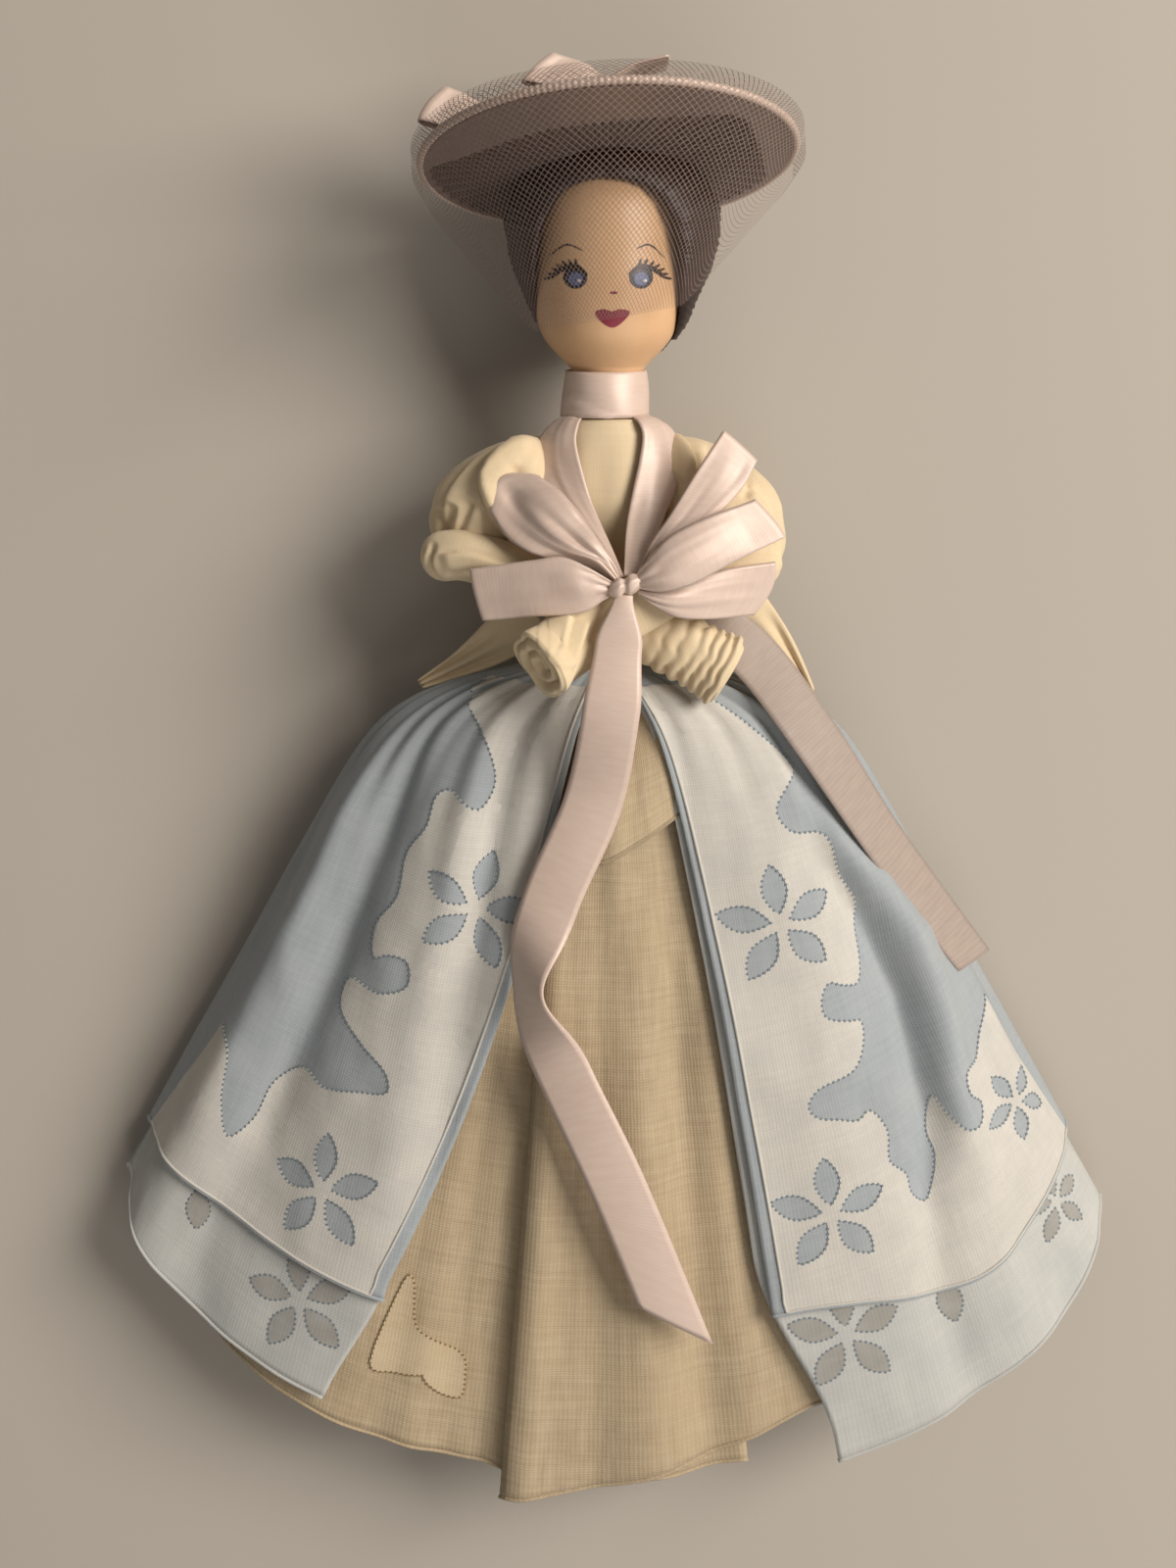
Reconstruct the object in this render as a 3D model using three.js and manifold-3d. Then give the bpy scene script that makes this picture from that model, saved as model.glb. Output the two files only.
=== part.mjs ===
// Handkerchief doll lying on its back: a turned wooden head on a dowel, dressed in folded
// handkerchiefs, satin ribbon and a veiled hat.
// Millimetres. X is to the viewer's right, Y runs towards the head, Z is up from the table.

import * as THREE from 'three';
import { mergeVertices } from 'three/addons/utils/BufferGeometryUtils.js';
import Module from 'manifold-3d';

const wasm = await Module();
wasm.setup();

// Fits and stock
const CLEARANCE = 0.3;
const CLOTH = 0.8;
const RIBBON_WIDTH = 11.5;
const RIBBON_THICKNESS = 0.6;
const RIBBON_GATHER = 4;
const TULLE = 0.7;

// Where the waist lies, and how far the doll's axis rises towards the head
const WAIST_Y = 103;
const WAIST_Z = 20;
const INCLINE = 4.3;

// Wooden core, measured along the axis from the waist
const DOWEL_RADIUS = 4;
const DOWEL_BELOW_WAIST = 92;
const BORE_DEPTH = 20;
const NECK_RADIUS = 7.2;
const NECK_FOOT = 45;
const CHIN = 58;
const JAW_RADIUS = 12.8;
const CHEEK_RADIUS = 14.2;
const HEAD_RADIUS = 13.8;
const HEAD_WIDEST = 80;
const HEAD_TOP = 98.5;

// Hair
const HAIR_HALF_WIDTH = 21.3;
const HAIR_HALF_HEIGHT = 22;
const HAIR_HALF_DEPTH = 17;
const HAIR_SET_BACK = 2.5;
const FACE_HALF_WIDTH = 13.6;
const HAIRLINE_ABOVE_WIDEST = 13.5;

// Hat
const HAT_TILT = 19;
const HAT_ROLL = 3.2;
const HAT_HEIGHT = 97.2;
const HAT_FORWARD = 7.8;
const BRIM_RADIUS = 35.9;
const BRIM_THICKNESS = 1.3;
const BRIM_CONE = 1.6;
const RIM_CORD_RADIUS = 1.1;
const CROWN_RADIUS = 17;
const CROWN_HEIGHT = 10.5;
const CROWN_WALL = 1.2;
const CROWN_SET_BACK = 5;
const VEIL_REACH = 105;
const VEIL_HEM = 68;
const VEIL_HALF_WIDTH = 20;
const VEIL_STAND_OFF = 17.5;
const VEIL_SIDE_DEPTH = 4;

// Bodice and sleeves
const BODICE_LENGTH = 43;
const BODICE_HALF_WIDTH = 14;
const BODICE_HALF_DEPTH = 11.5;
const BODICE_WAIST_RADIUS = 7.6;
const PUFF_OUT = 24;
const PUFF_UP = 28;
const PUFF_HALF_WIDTH = 13;
const PUFF_HALF_LENGTH = 17;
const PUFF_HALF_DEPTH = 12;
const SLEEVE_HALF_WIDTH = 7;
const SLEEVE_HALF_DEPTH = 4.6;
const SLEEVE_PRESSED = 3.2;

// Skirts: a gathered neck on the dowel, a pouf below it, then a straight flare
const GATHER_RADIUS = 10.5;
const GATHER_HEIGHT = 5;
const POUF_WIDTH = 31;
const POUF_REACH = 7;
const SKIRT_FLARE = 0.411;
const SKIRT_SPREAD = 44;
const SKIRT_RISE = 7;
const SKIRT_RISE_REACH = 10;
const SKIRT_SLOPE = 0.03;
const FLANK_HEIGHT = 6;
const FLANK_REACH = 35;
const BACK_REACH = 40;
const FOLD_DEPTH = 1.3;
const FOLD_COUNT = 11;
const UPPER_LENGTH = 141;
const LOWER_LENGTH = 174;
const UNDER_LENGTH = 172;
const FLAP_LENGTH = 38.5;
const LAYER_PITCH = CLOTH + CLEARANCE + 0.3;

// How the hems swing: the sag of the upper one at the right, the droop of the lower one to the right,
// the slant of the petticoat's lap, and how far each rises at the flanks
const UPPER_SAG = { drop: 12, side: 0.74, reach: 0.22 };
const LOWER_DROOP = 5;
const LOWER_FLANK_RISE = 14;
const UNDER_SLANT = { lap: 9, fall: 27, low: -6, far: 3 };
const UNDER_FLANK_RISE = 30;

// Front edges of the skirts, as the sine of the turn from the front
const LEFT_EDGE = { waist: -0.1, widening: 0.0024, widest: -0.43 };
const RIGHT_EDGE = { hem: 0.325, drawnIn: 0.16, reach: 40 };
const UNDER_LAP = { over: -0.18, under: 0.25 };
const FLAP_SIDES = { left: -0.1, right: 0.25, corner: -0.02, slant: 0.83 };

// Bow and binding thread
const KNOT_X = 3.5;
const KNOT_UP = 20.1;
const KNOT_HALF_WIDTH = 4.2;
const KNOT_HALF_HEIGHT = 3;
const KNOT_HALF_DEPTH = 2.5;
const LAPEL_DROP = 1.9;
const THREAD_RADIUS = 0.35;
const THREAD_PITCH = 1.25;
const THREAD_TURNS = 3;

// Colours
const COLOUR = {
  wood: 0xd9b183, dowel: 0xc9a273, hair: 0x2e1a16, satin: 0xd9bfb0, hat: 0xb79d92, tulle: 0xd8ccc0,
  cream: 0xdcc79a, linen: 0xc9b48a, blue: 0xa9b7c2, thread: 0x6b5a48,
};

const { degToRad, lerp, smoothstep } = THREE.MathUtils;
const point = (x, y, z) => new THREE.Vector3(x, y, z);
const FRONT = point(0, 0, 1);

// Closed bodies

// One closed body from vertices and triangles, turned so that its faces point out.
function closedBody(positions, triangles) {
  let volume = 0;
  const corner = (i) => point().fromArray(positions, 3 * i);
  for (let i = 0; i < triangles.length; i += 3) {
    const [a, b, c] = [0, 1, 2].map((k) => corner(triangles[i + k]));
    volume += a.dot(b.cross(c));
  }
  const faces = volume < 0 ? triangles.slice().reverse() : triangles;
  const geometry = new THREE.BufferGeometry();
  geometry.setAttribute('position', new THREE.Float32BufferAttribute(positions, 3));
  geometry.setIndex(faces);
  return geometry;
}

// A body skinned over a row of rings of points, with its two ends closed.
function loft(rings) {
  const count = rings[0].length;
  const positions = rings.flat().flatMap((p) => p.toArray());
  const triangles = [];
  for (let i = 0; i + 1 < rings.length; i += 1) {
    for (let j = 0; j < count; j += 1) {
      const a = i * count + j;
      const b = i * count + ((j + 1) % count);
      triangles.push(a, b, b + count, a, b + count, a + count);
    }
  }
  const last = (rings.length - 1) * count;
  for (const [ring, first, turn] of [[rings[0], 0, -1], [rings.at(-1), last, 1]]) {
    const middle = ring.reduce((sum, p) => sum.add(p), point(0, 0, 0)).divideScalar(count);
    const tip = positions.length / 3;
    positions.push(...middle.toArray());
    for (let j = 0; j < count; j += 1) {
      const edge = [first + j, first + ((j + 1) % count)];
      triangles.push(tip, ...(turn > 0 ? edge : edge.reverse()));
    }
  }
  return closedBody(positions, triangles);
}

// A cloth: a grid of points on its middle surface, given a thickness along the surface's normals.
function sheet(grid, thickness) {
  const rows = grid.length;
  const columns = grid[0].length;
  const at = (i, j) => grid[Math.min(Math.max(i, 0), rows - 1)][Math.min(Math.max(j, 0), columns - 1)];
  const faces = [1, -1].map((side) => grid.flatMap((row, i) => row.flatMap((p, j) => {
    const down = at(i + 1, j).clone().sub(at(i - 1, j));
    const across = at(i, j + 1).clone().sub(at(i, j - 1));
    const normal = down.cross(across).normalize();
    return normal.multiplyScalar(side * thickness / 2).add(p).toArray();
  })));
  const back = rows * columns;
  const triangles = [];
  const quad = (a, b, c, d) => triangles.push(a, b, c, a, c, d);
  const id = (i, j) => i * columns + j;
  for (let i = 0; i + 1 < rows; i += 1) {
    for (let j = 0; j + 1 < columns; j += 1) {
      const loop = [id(i, j), id(i + 1, j), id(i + 1, j + 1), id(i, j + 1)];
      quad(...loop);
      quad(...loop.reverse().map((k) => k + back));
    }
  }
  const rim = [
    ...Array.from({ length: columns - 1 }, (_, j) => id(0, j)),
    ...Array.from({ length: rows - 1 }, (_, i) => id(i, columns - 1)),
    ...Array.from({ length: columns - 1 }, (_, j) => id(rows - 1, columns - 1 - j)),
    ...Array.from({ length: rows - 1 }, (_, i) => id(rows - 1 - i, 0)),
  ];
  rim.forEach((a, k) => {
    const b = rim[(k + 1) % rim.length];
    quad(a, b, b + back, a + back);
  });
  return closedBody(faces.flat(), triangles);
}

// Vertices merged and spent triangles dropped, so that a three.js shape is one closed skin.
function weld(geometry) {
  const bare = geometry.clone();
  bare.deleteAttribute('normal');
  bare.deleteAttribute('uv');
  const merged = mergeVertices(bare, 1e-4);
  const index = merged.index.array;
  const kept = [];
  for (let i = 0; i < index.length; i += 3) {
    const [a, b, c] = index.slice(i, i + 3);
    if (a !== b && b !== c && c !== a) kept.push(a, b, c);
  }
  return closedBody(Array.from(merged.attributes.position.array), kept);
}

// A turned piece: radius and height pairs spun about the doll's axis.
function turned(profile, segments) {
  return weld(new THREE.LatheGeometry(profile.map(([r, h]) => new THREE.Vector2(r, h)), segments));
}

function solidOf(geometry) {
  return new wasm.Manifold(new wasm.Mesh({
    numProp: 3,
    vertProperties: new Float32Array(geometry.attributes.position.array),
    triVerts: new Uint32Array(geometry.index.array),
  }));
}

// A body with others cut out of it. Crumbs that a cut leaves are dropped.
function cut(geometry, ...cutters) {
  let solid = solidOf(geometry);
  for (const cutter of cutters) solid = solid.subtract(solidOf(cutter));
  const pieces = solid.decompose();
  pieces.sort((a, b) => b.volume() - a.volume());
  const mesh = pieces[0].getMesh();
  return closedBody(Array.from(mesh.vertProperties), Array.from(mesh.triVerts));
}

// Frames: the torso lies along the inclined axis, and the hat sits tilted on the head

const torso = new THREE.Group();
torso.position.set(0, WAIST_Y, WAIST_Z);
torso.rotation.x = degToRad(INCLINE);
torso.updateMatrix();

const hat = new THREE.Group();
hat.position.set(0, HAT_HEIGHT, HAT_FORWARD);
hat.rotation.set(degToRad(-HAT_TILT), 0, degToRad(HAT_ROLL));
hat.updateMatrix();
torso.add(hat);

const inTorso = (geometry) => geometry.clone().applyMatrix4(torso.matrix.clone().invert());
const fromTorso = (p) => p.clone().applyMatrix4(torso.matrix);
const fromHat = (geometry) => geometry.clone().applyMatrix4(hat.matrix);
const inHat = (geometry) => geometry.clone().applyMatrix4(hat.matrix.clone().invert());

const doll = new THREE.Group();
doll.add(torso);

function place(parent, name, geometry, colour, roughness) {
  const material = new THREE.MeshStandardMaterial({ color: colour, roughness, metalness: 0 });
  geometry.computeVertexNormals();
  const mesh = new THREE.Mesh(geometry, material);
  mesh.name = name;
  parent.add(mesh);
  return mesh;
}

// Wooden core

function headProfile(grow) {
  const jaw = lerp(CHIN, HEAD_WIDEST, 0.3);
  const cheek = lerp(CHIN, HEAD_WIDEST, 0.68);
  const crown = HEAD_TOP - HEAD_WIDEST;
  const egg = new THREE.SplineCurve([
    new THREE.Vector2(NECK_RADIUS, CHIN),
    new THREE.Vector2(JAW_RADIUS, jaw),
    new THREE.Vector2(CHEEK_RADIUS, cheek),
    new THREE.Vector2(HEAD_RADIUS, HEAD_WIDEST),
    new THREE.Vector2(HEAD_RADIUS * 0.9, HEAD_WIDEST + crown * 0.55),
    new THREE.Vector2(HEAD_RADIUS * 0.56, HEAD_WIDEST + crown * 0.88),
  ]);
  const skin = egg.getPoints(14).map((p) => [p.x + grow, p.y]);
  return [[NECK_RADIUS + grow, NECK_FOOT - grow], ...skin, [0, HEAD_TOP + grow]];
}

function headBody() {
  const bore = DOWEL_RADIUS + CLEARANCE;
  const top = NECK_FOOT + BORE_DEPTH;
  return turned([[0, top], [bore, top], [bore, NECK_FOOT], ...headProfile(0)], 28);
}

function dowelBody() {
  const top = NECK_FOOT + BORE_DEPTH - CLEARANCE;
  const foot = -DOWEL_BELOW_WAIST;
  const chamfer = DOWEL_RADIUS / 5;
  return turned([
    [0, foot], [DOWEL_RADIUS - chamfer, foot], [DOWEL_RADIUS, foot + chamfer],
    [DOWEL_RADIUS, top - chamfer], [DOWEL_RADIUS - chamfer, top], [0, top],
  ], 16);
}

// The round hole that the neck and the dowel take in the bodice.
function coreHole() {
  const neck = NECK_RADIUS + CLEARANCE;
  const stick = DOWEL_RADIUS + CLEARANCE;
  const seat = NECK_FOOT - CLEARANCE;
  const foot = -GATHER_HEIGHT;
  return turned([[0, foot], [stick, foot], [stick, seat], [neck, seat], [neck, CHIN], [0, CHIN]], 28);
}

// Skirts

// The unfolded skirt: how far down it lies from the waist, and the turn round it from the front.
function skirtBase(fall, turn) {
  const down = Math.max(fall, 0);
  const side = Math.sin(turn);
  const front = Math.cos(turn);
  const spread = degToRad(SKIRT_SPREAD);
  const opened = smoothstep(down, 0, 2 * POUF_REACH);
  const halfWidth = GATHER_RADIUS + POUF_WIDTH * (1 - Math.exp(-down / POUF_REACH)) + SKIRT_FLARE * down;
  const x = halfWidth * lerp(side, Math.sin(spread * side) / Math.sin(spread), opened);
  const y = WAIST_Y - (fall > 0 ? fall * Math.cos(spread * side) : fall);
  const rise = SKIRT_RISE * (1 - Math.exp(-down / SKIRT_RISE_REACH)) - SKIRT_SLOPE * down;
  const crest = WAIST_Z + GATHER_RADIUS + rise;
  const flank = FLANK_HEIGHT + (WAIST_Z - FLANK_HEIGHT) * Math.exp(-down / FLANK_REACH);
  const laid = smoothstep(down, 0, BACK_REACH);
  const bed = lerp(WAIST_Z - GATHER_RADIUS, CLOTH / 2, laid);
  const flat = lerp(-front, smoothstep(-front, 0, 0.45), laid);
  const z = front > 0 ? flank + (crest - flank) * front : flank - (flank - bed) * flat;
  return point(x, y, z);
}

// The skirt's surface with its main folds, lying a given way out from the outer handkerchief.
function skirtPoint(fall, turn, out) {
  const step = 0.01;
  const here = skirtBase(fall, turn);
  const down = skirtBase(fall + step, turn).sub(skirtBase(fall - step, turn));
  const round = skirtBase(fall, turn + step).sub(skirtBase(fall, turn - step));
  const normal = round.cross(down).normalize().negate();
  const swing = 0.65 * Math.cos(FOLD_COUNT * turn) + 0.35 * Math.cos((FOLD_COUNT - 4) * turn + 1);
  const grown = smoothstep(fall, POUF_REACH, BACK_REACH) * smoothstep(Math.cos(turn), -0.1, 0.3);
  return here.addScaledVector(normal, FOLD_DEPTH * grown * swing + out);
}

const OUT = { upper: 0, lower: -LAYER_PITCH, flap: -2 * LAYER_PITCH, under: -3 * LAYER_PITCH };

// A handkerchief wrapped round the doll from one front edge to the other by way of the back.
// All layers share the columns of the middle stretch and the rows of the upper tier, so they nest.
const SKIRT_ROWS = [0.02, 0.055, 0.115, 0.2, 0.29, 0.42, 0.6, 0.8, 0.92];
const SHARED_TURN = 0.6;
const SHARED_COLUMNS = 28;

function wrappedSkirt({ from, to, length, out, edgeColumns, grow = 0 }) {
  const falls = [-GATHER_HEIGHT, 0, ...SKIRT_ROWS.map((share) => share * UPPER_LENGTH)];
  const rows = [...falls.map((fall) => () => fall), length];
  const columns = [];
  for (let j = 0; j < edgeColumns[0]; j += 1) {
    columns.push((fall) => lerp(from(fall), SHARED_TURN, j / edgeColumns[0]));
  }
  for (let j = 0; j <= SHARED_COLUMNS; j += 1) {
    const share = j / SHARED_COLUMNS;
    const eased = share + 0.045 * Math.sin(4 * Math.PI * share);
    columns.push(() => lerp(SHARED_TURN, 2 * Math.PI - SHARED_TURN, eased));
  }
  for (let j = 1; j <= edgeColumns[1]; j += 1) {
    columns.push((fall) => lerp(2 * Math.PI - SHARED_TURN, to(fall), j / edgeColumns[1]));
  }
  return sheet(rows.map((row) => columns.map((column) => {
    const fall = row(column(UPPER_LENGTH));
    const turn = column(fall);
    return skirtPoint(fall, turn, out(turn));
  })), CLOTH + 2 * grow);
}

function leftEdge(fall) {
  const side = LEFT_EDGE.waist - LEFT_EDGE.widening * fall;
  return 2 * Math.PI + Math.asin(Math.max(side, LEFT_EDGE.widest));
}

function rightEdge(fall) {
  const drawn = Math.exp(-Math.max(fall, 0) / RIGHT_EDGE.reach);
  return Math.asin(RIGHT_EDGE.hem - RIGHT_EDGE.drawnIn * drawn);
}

function overskirtUpper(grow = 0) {
  const length = (turn) => {
    const away = (Math.sin(turn) - UPPER_SAG.side) / UPPER_SAG.reach;
    return UPPER_LENGTH + UPPER_SAG.drop * Math.exp(-away * away) * smoothstep(Math.cos(turn), -0.3, 0.3);
  };
  return wrappedSkirt({
    from: rightEdge, to: leftEdge, length, out: () => OUT.upper, edgeColumns: [4, 5], grow,
  });
}

function overskirtLower() {
  const swung = (fall) => smoothstep(fall, UPPER_LENGTH * 0.9, LOWER_LENGTH);
  const corner = (fall) => rightEdge(fall) - 0.02 + 0.1 * swung(fall);
  const length = (turn) => {
    const side = Math.sin(turn);
    const droop = LOWER_DROOP * (2 * smoothstep(side, -0.3, 0.3) - 1);
    return LOWER_LENGTH + droop - LOWER_FLANK_RISE * side ** 10;
  };
  return wrappedSkirt({
    from: corner, to: leftEdge, length, out: () => OUT.lower, edgeColumns: [4, 5],
  });
}

// The petticoat's two front edges lap, the viewer's right one over the left.
function underskirt() {
  const round = 2 * Math.PI;
  const slant = (turn) => {
    const lapped = Math.max(UNDER_SLANT.lap - UNDER_SLANT.fall * (turn - UNDER_LAP.over), UNDER_SLANT.low);
    return lerp(lapped, UNDER_SLANT.far, smoothstep(turn, Math.PI, round - SHARED_TURN));
  };
  const tucked = (turn) => smoothstep(turn, round - SHARED_TURN, round + 1.2 * UNDER_LAP.over);
  return wrappedSkirt({
    from: () => UNDER_LAP.over,
    to: () => round + UNDER_LAP.under,
    length: (turn) => UNDER_LENGTH + slant(turn) - UNDER_FLANK_RISE * Math.sin(turn) ** 6,
    out: (turn) => OUT.under - LAYER_PITCH * tucked(turn),
    edgeColumns: [8, 8],
  });
}

// The corner of the petticoat's upper fold that shows under the bow.
function underskirtFlap() {
  const { left, right, corner, slant } = FLAP_SIDES;
  const rows = [0.06, 0.18, 0.4, 0.7, 1];
  return sheet(rows.map((share) => Array.from({ length: 9 }, (_, j) => {
    const side = lerp(left, right, j / 8);
    const length = FLAP_LENGTH * (1 - slant * Math.abs(side - corner));
    return skirtPoint(share * length, Math.asin(side), OUT.flap);
  })), CLOTH);
}

// The thread that binds the gathers, one unbroken winding.
function waistThread() {
  const radius = GATHER_RADIUS + CLOTH / 2 + CLEARANCE + THREAD_RADIUS;
  const stepsPerTurn = 24;
  const sides = 6;
  const steps = THREAD_TURNS * stepsPerTurn;
  const middle = WAIST_Y + GATHER_HEIGHT / 2 + 0.4;
  const rings = Array.from({ length: steps + 1 }, (_, i) => {
    const angle = 2 * Math.PI * i / stepsPerTurn;
    const y = middle + THREAD_PITCH * (i / stepsPerTurn - THREAD_TURNS / 2);
    return Array.from({ length: sides }, (_, j) => {
      const roll = 2 * Math.PI * j / sides;
      const reach = radius + THREAD_RADIUS * Math.cos(roll);
      const level = y + THREAD_RADIUS * Math.sin(roll);
      return point(reach * Math.sin(angle), level, WAIST_Z + reach * Math.cos(angle));
    });
  });
  let nearest = Infinity;
  for (const a of rings[stepsPerTurn]) {
    for (const b of rings[2 * stepsPerTurn]) nearest = Math.min(nearest, a.distanceTo(b));
  }
  console.log(`waist thread: least gap to itself ${nearest.toFixed(2)} mm`);
  return loft(rings);
}

// The round space that the thread takes up.
function bindingHole() {
  const radius = GATHER_RADIUS + CLOTH / 2 + 2 * CLEARANCE + 2 * THREAD_RADIUS;
  const column = turned([[0, 0], [radius, 0], [radius, 2 * GATHER_HEIGHT], [0, 2 * GATHER_HEIGHT]], 24);
  return column.translate(0, WAIST_Y - GATHER_HEIGHT / 2, WAIST_Z);
}

// Bodice and sleeves, in the torso's frame

function ellipseRing(middle, across, deep, halfWidth, halfDepth, count, ripple = () => 1) {
  return Array.from({ length: count }, (_, j) => {
    const angle = 2 * Math.PI * j / count;
    const swell = ripple(angle);
    return middle.clone()
      .addScaledVector(across, halfWidth * swell * Math.cos(angle))
      .addScaledVector(deep, halfDepth * swell * Math.sin(angle));
  });
}

// The bodice's sections: share of its length, half width and half depth.
const BODICE_FOOT = GATHER_HEIGHT + CLEARANCE + 0.4;
const BODICE_NECK = NECK_RADIUS + 1.6;
const BODICE_SECTIONS = [
  [0, BODICE_WAIST_RADIUS, BODICE_WAIST_RADIUS],
  [0.14, BODICE_WAIST_RADIUS * 1.05, BODICE_WAIST_RADIUS],
  [0.38, BODICE_HALF_WIDTH * 0.86, BODICE_HALF_DEPTH * 0.86],
  [0.62, BODICE_HALF_WIDTH, BODICE_HALF_DEPTH],
  [0.82, BODICE_HALF_WIDTH * 0.94, BODICE_HALF_DEPTH * 0.94],
  [0.94, lerp(BODICE_NECK, BODICE_HALF_WIDTH, 0.5), lerp(BODICE_NECK, BODICE_HALF_DEPTH, 0.4)],
  [1, BODICE_NECK, BODICE_NECK],
];

function bodiceShape(grow) {
  return loft(BODICE_SECTIONS.map(([share, halfWidth, halfDepth]) => {
    const stretch = share === 0 ? -grow : (share === 1 ? grow : 0);
    const middle = point(0, BODICE_FOOT + share * BODICE_LENGTH + stretch, 0);
    return ellipseRing(middle, point(1, 0, 0), FRONT, halfWidth + grow, halfDepth + grow, 22);
  }));
}

// How far the chest stands in front of the axis at a place on it.
function chestDepth(x, up) {
  const share = THREE.MathUtils.clamp((up - BODICE_FOOT) / BODICE_LENGTH, 0, 1);
  const next = Math.max(BODICE_SECTIONS.findIndex((section) => section[0] >= share), 1);
  const [low, high] = [BODICE_SECTIONS[next - 1], BODICE_SECTIONS[next]];
  const blend = (share - low[0]) / (high[0] - low[0]);
  const halfWidth = lerp(low[1], high[1], blend);
  const halfDepth = lerp(low[2], high[2], blend);
  return halfDepth * Math.sqrt(Math.max(1 - (x / halfWidth) ** 2, 0));
}

// A puffed upper sleeve: a swollen egg of cloth with a few soft folds running down it.
function puffShape(side, grow) {
  const count = 9;
  const rings = Array.from({ length: count + 1 }, (_, i) => {
    const share = lerp(-0.97, 0.97, i / count);
    const swell = (1 - Math.abs(share) ** 2.4) ** (1 / 2.4);
    const lean = -2.5 * share;
    const middle = point(side * (PUFF_OUT + lean), PUFF_UP + share * (PUFF_HALF_LENGTH + grow), 1);
    const folds = (angle) => 1 + 0.035 * Math.cos(7 * angle + 0.6) * swell;
    const halfWidth = PUFF_HALF_WIDTH * swell + grow;
    const halfDepth = PUFF_HALF_DEPTH * swell + grow;
    return ellipseRing(middle, point(1, 0, 0), FRONT, halfWidth, halfDepth, 16, folds);
  });
  return loft(rings);
}

// A forearm: the sleeve rolled, brought across the waist and ending in a pleated cuff.
function forearmShape(route, grow) {
  const curve = new THREE.CatmullRomCurve3(route.map(([x, y, z]) => point(x, y, z)));
  const steps = 13;
  const crossing = 0.55;
  const rings = Array.from({ length: steps + 1 }, (_, i) => {
    const share = i / steps;
    const middle = curve.getPointAt(share);
    const along = curve.getTangentAt(share);
    if (i === 0) middle.addScaledVector(along, -grow);
    if (i === steps) middle.addScaledVector(along, grow);
    const across = point().crossVectors(FRONT, along).normalize();
    const deep = point().crossVectors(along, across).normalize();
    const pressed = Math.exp(-(((share - crossing) / 0.16) ** 2));
    const halfDepth = lerp(SLEEVE_HALF_DEPTH, SLEEVE_PRESSED, pressed);
    const pleats = smoothstep(share, 0.7, 1);
    const ripple = (angle) => 1 + 0.09 * pleats * Math.cos(6 * angle);
    return ellipseRing(middle, across, deep, SLEEVE_HALF_WIDTH + grow, halfDepth + grow, 18, ripple);
  });
  return loft(rings);
}

const FRONT_OF_WAIST = BODICE_WAIST_RADIUS + CLEARANCE;
const UNDER_ARM = FRONT_OF_WAIST + SLEEVE_PRESSED + 0.4;
const OVER_ARM = UNDER_ARM + 2 * SLEEVE_PRESSED + CLEARANCE + 0.3;
const KNOT_DEPTH = OVER_ARM + SLEEVE_PRESSED + CLEARANCE + KNOT_HALF_DEPTH;

const leftArmRoute = [
  [-28, 20, 9.5], [-17, 18.5, UNDER_ARM + 1.5], [-5, 14, UNDER_ARM], [8, 8.5, UNDER_ARM + 1.5],
  [22.5, -0.3, UNDER_ARM + 8],
];
const rightArmRoute = [
  [28, 20, 9.5], [18, 19.5, UNDER_ARM + 1.8], [7, 15.5, OVER_ARM - 1], [-4, 9, OVER_ARM + 0.6],
  [-14, 1.2, OVER_ARM + 4.4],
];

// A corner of the bodice handkerchief that hangs out behind an arm.
function peplumShape(side, tip) {
  const rows = 5;
  const root = point(side * 17, 11, 0);
  const end = point(side * tip[0], tip[1], tip[2]);
  return sheet(Array.from({ length: rows + 1 }, (_, i) => {
    const share = i / rows;
    const middle = root.clone().lerp(end, share);
    const halfWidth = lerp(7, 0.9, share ** 1.4);
    return [-1, -0.5, 0, 0.5, 1].map((across) => point(
      middle.x + across * halfWidth * 0.75,
      middle.y + side * across * halfWidth * 0.66,
      middle.z + 1.8 * (1 - across * across) * (1 - share) - 0.5 * across,
    ));
  }), CLOTH);
}

// Ribbon

// A ribbon laid along stations, each a middle, a direction across the ribbon and a width.
function ribbon(stations) {
  return sheet(stations.map(({ middle, across, width }) => [-0.5, 0, 0.5].map(
    (share) => middle.clone().addScaledVector(across, share * width),
  )), RIBBON_THICKNESS);
}

// Stations eased along a hand-laid route: place, lean of the ribbon about its run, and width.
function routeStations(route, steps) {
  const path = new THREE.CatmullRomCurve3(route.map((stop) => stop.at));
  return Array.from({ length: steps + 1 }, (_, i) => {
    const share = i / steps;
    const middle = path.getPoint(share);
    const along = path.getTangent(share);
    const spot = share * (route.length - 1);
    const k = Math.min(Math.floor(spot), route.length - 2);
    const blend = smoothstep(spot - k, 0, 1);
    const lean = degToRad(lerp(route[k].lean, route[k + 1].lean, blend));
    const width = lerp(route[k].width, route[k + 1].width, blend);
    const level = point().crossVectors(FRONT, along).normalize();
    const rise = point().crossVectors(along, level).normalize();
    const across = level.multiplyScalar(Math.cos(lean)).addScaledVector(rise, Math.sin(lean));
    return { middle, across, width };
  });
}

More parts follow.
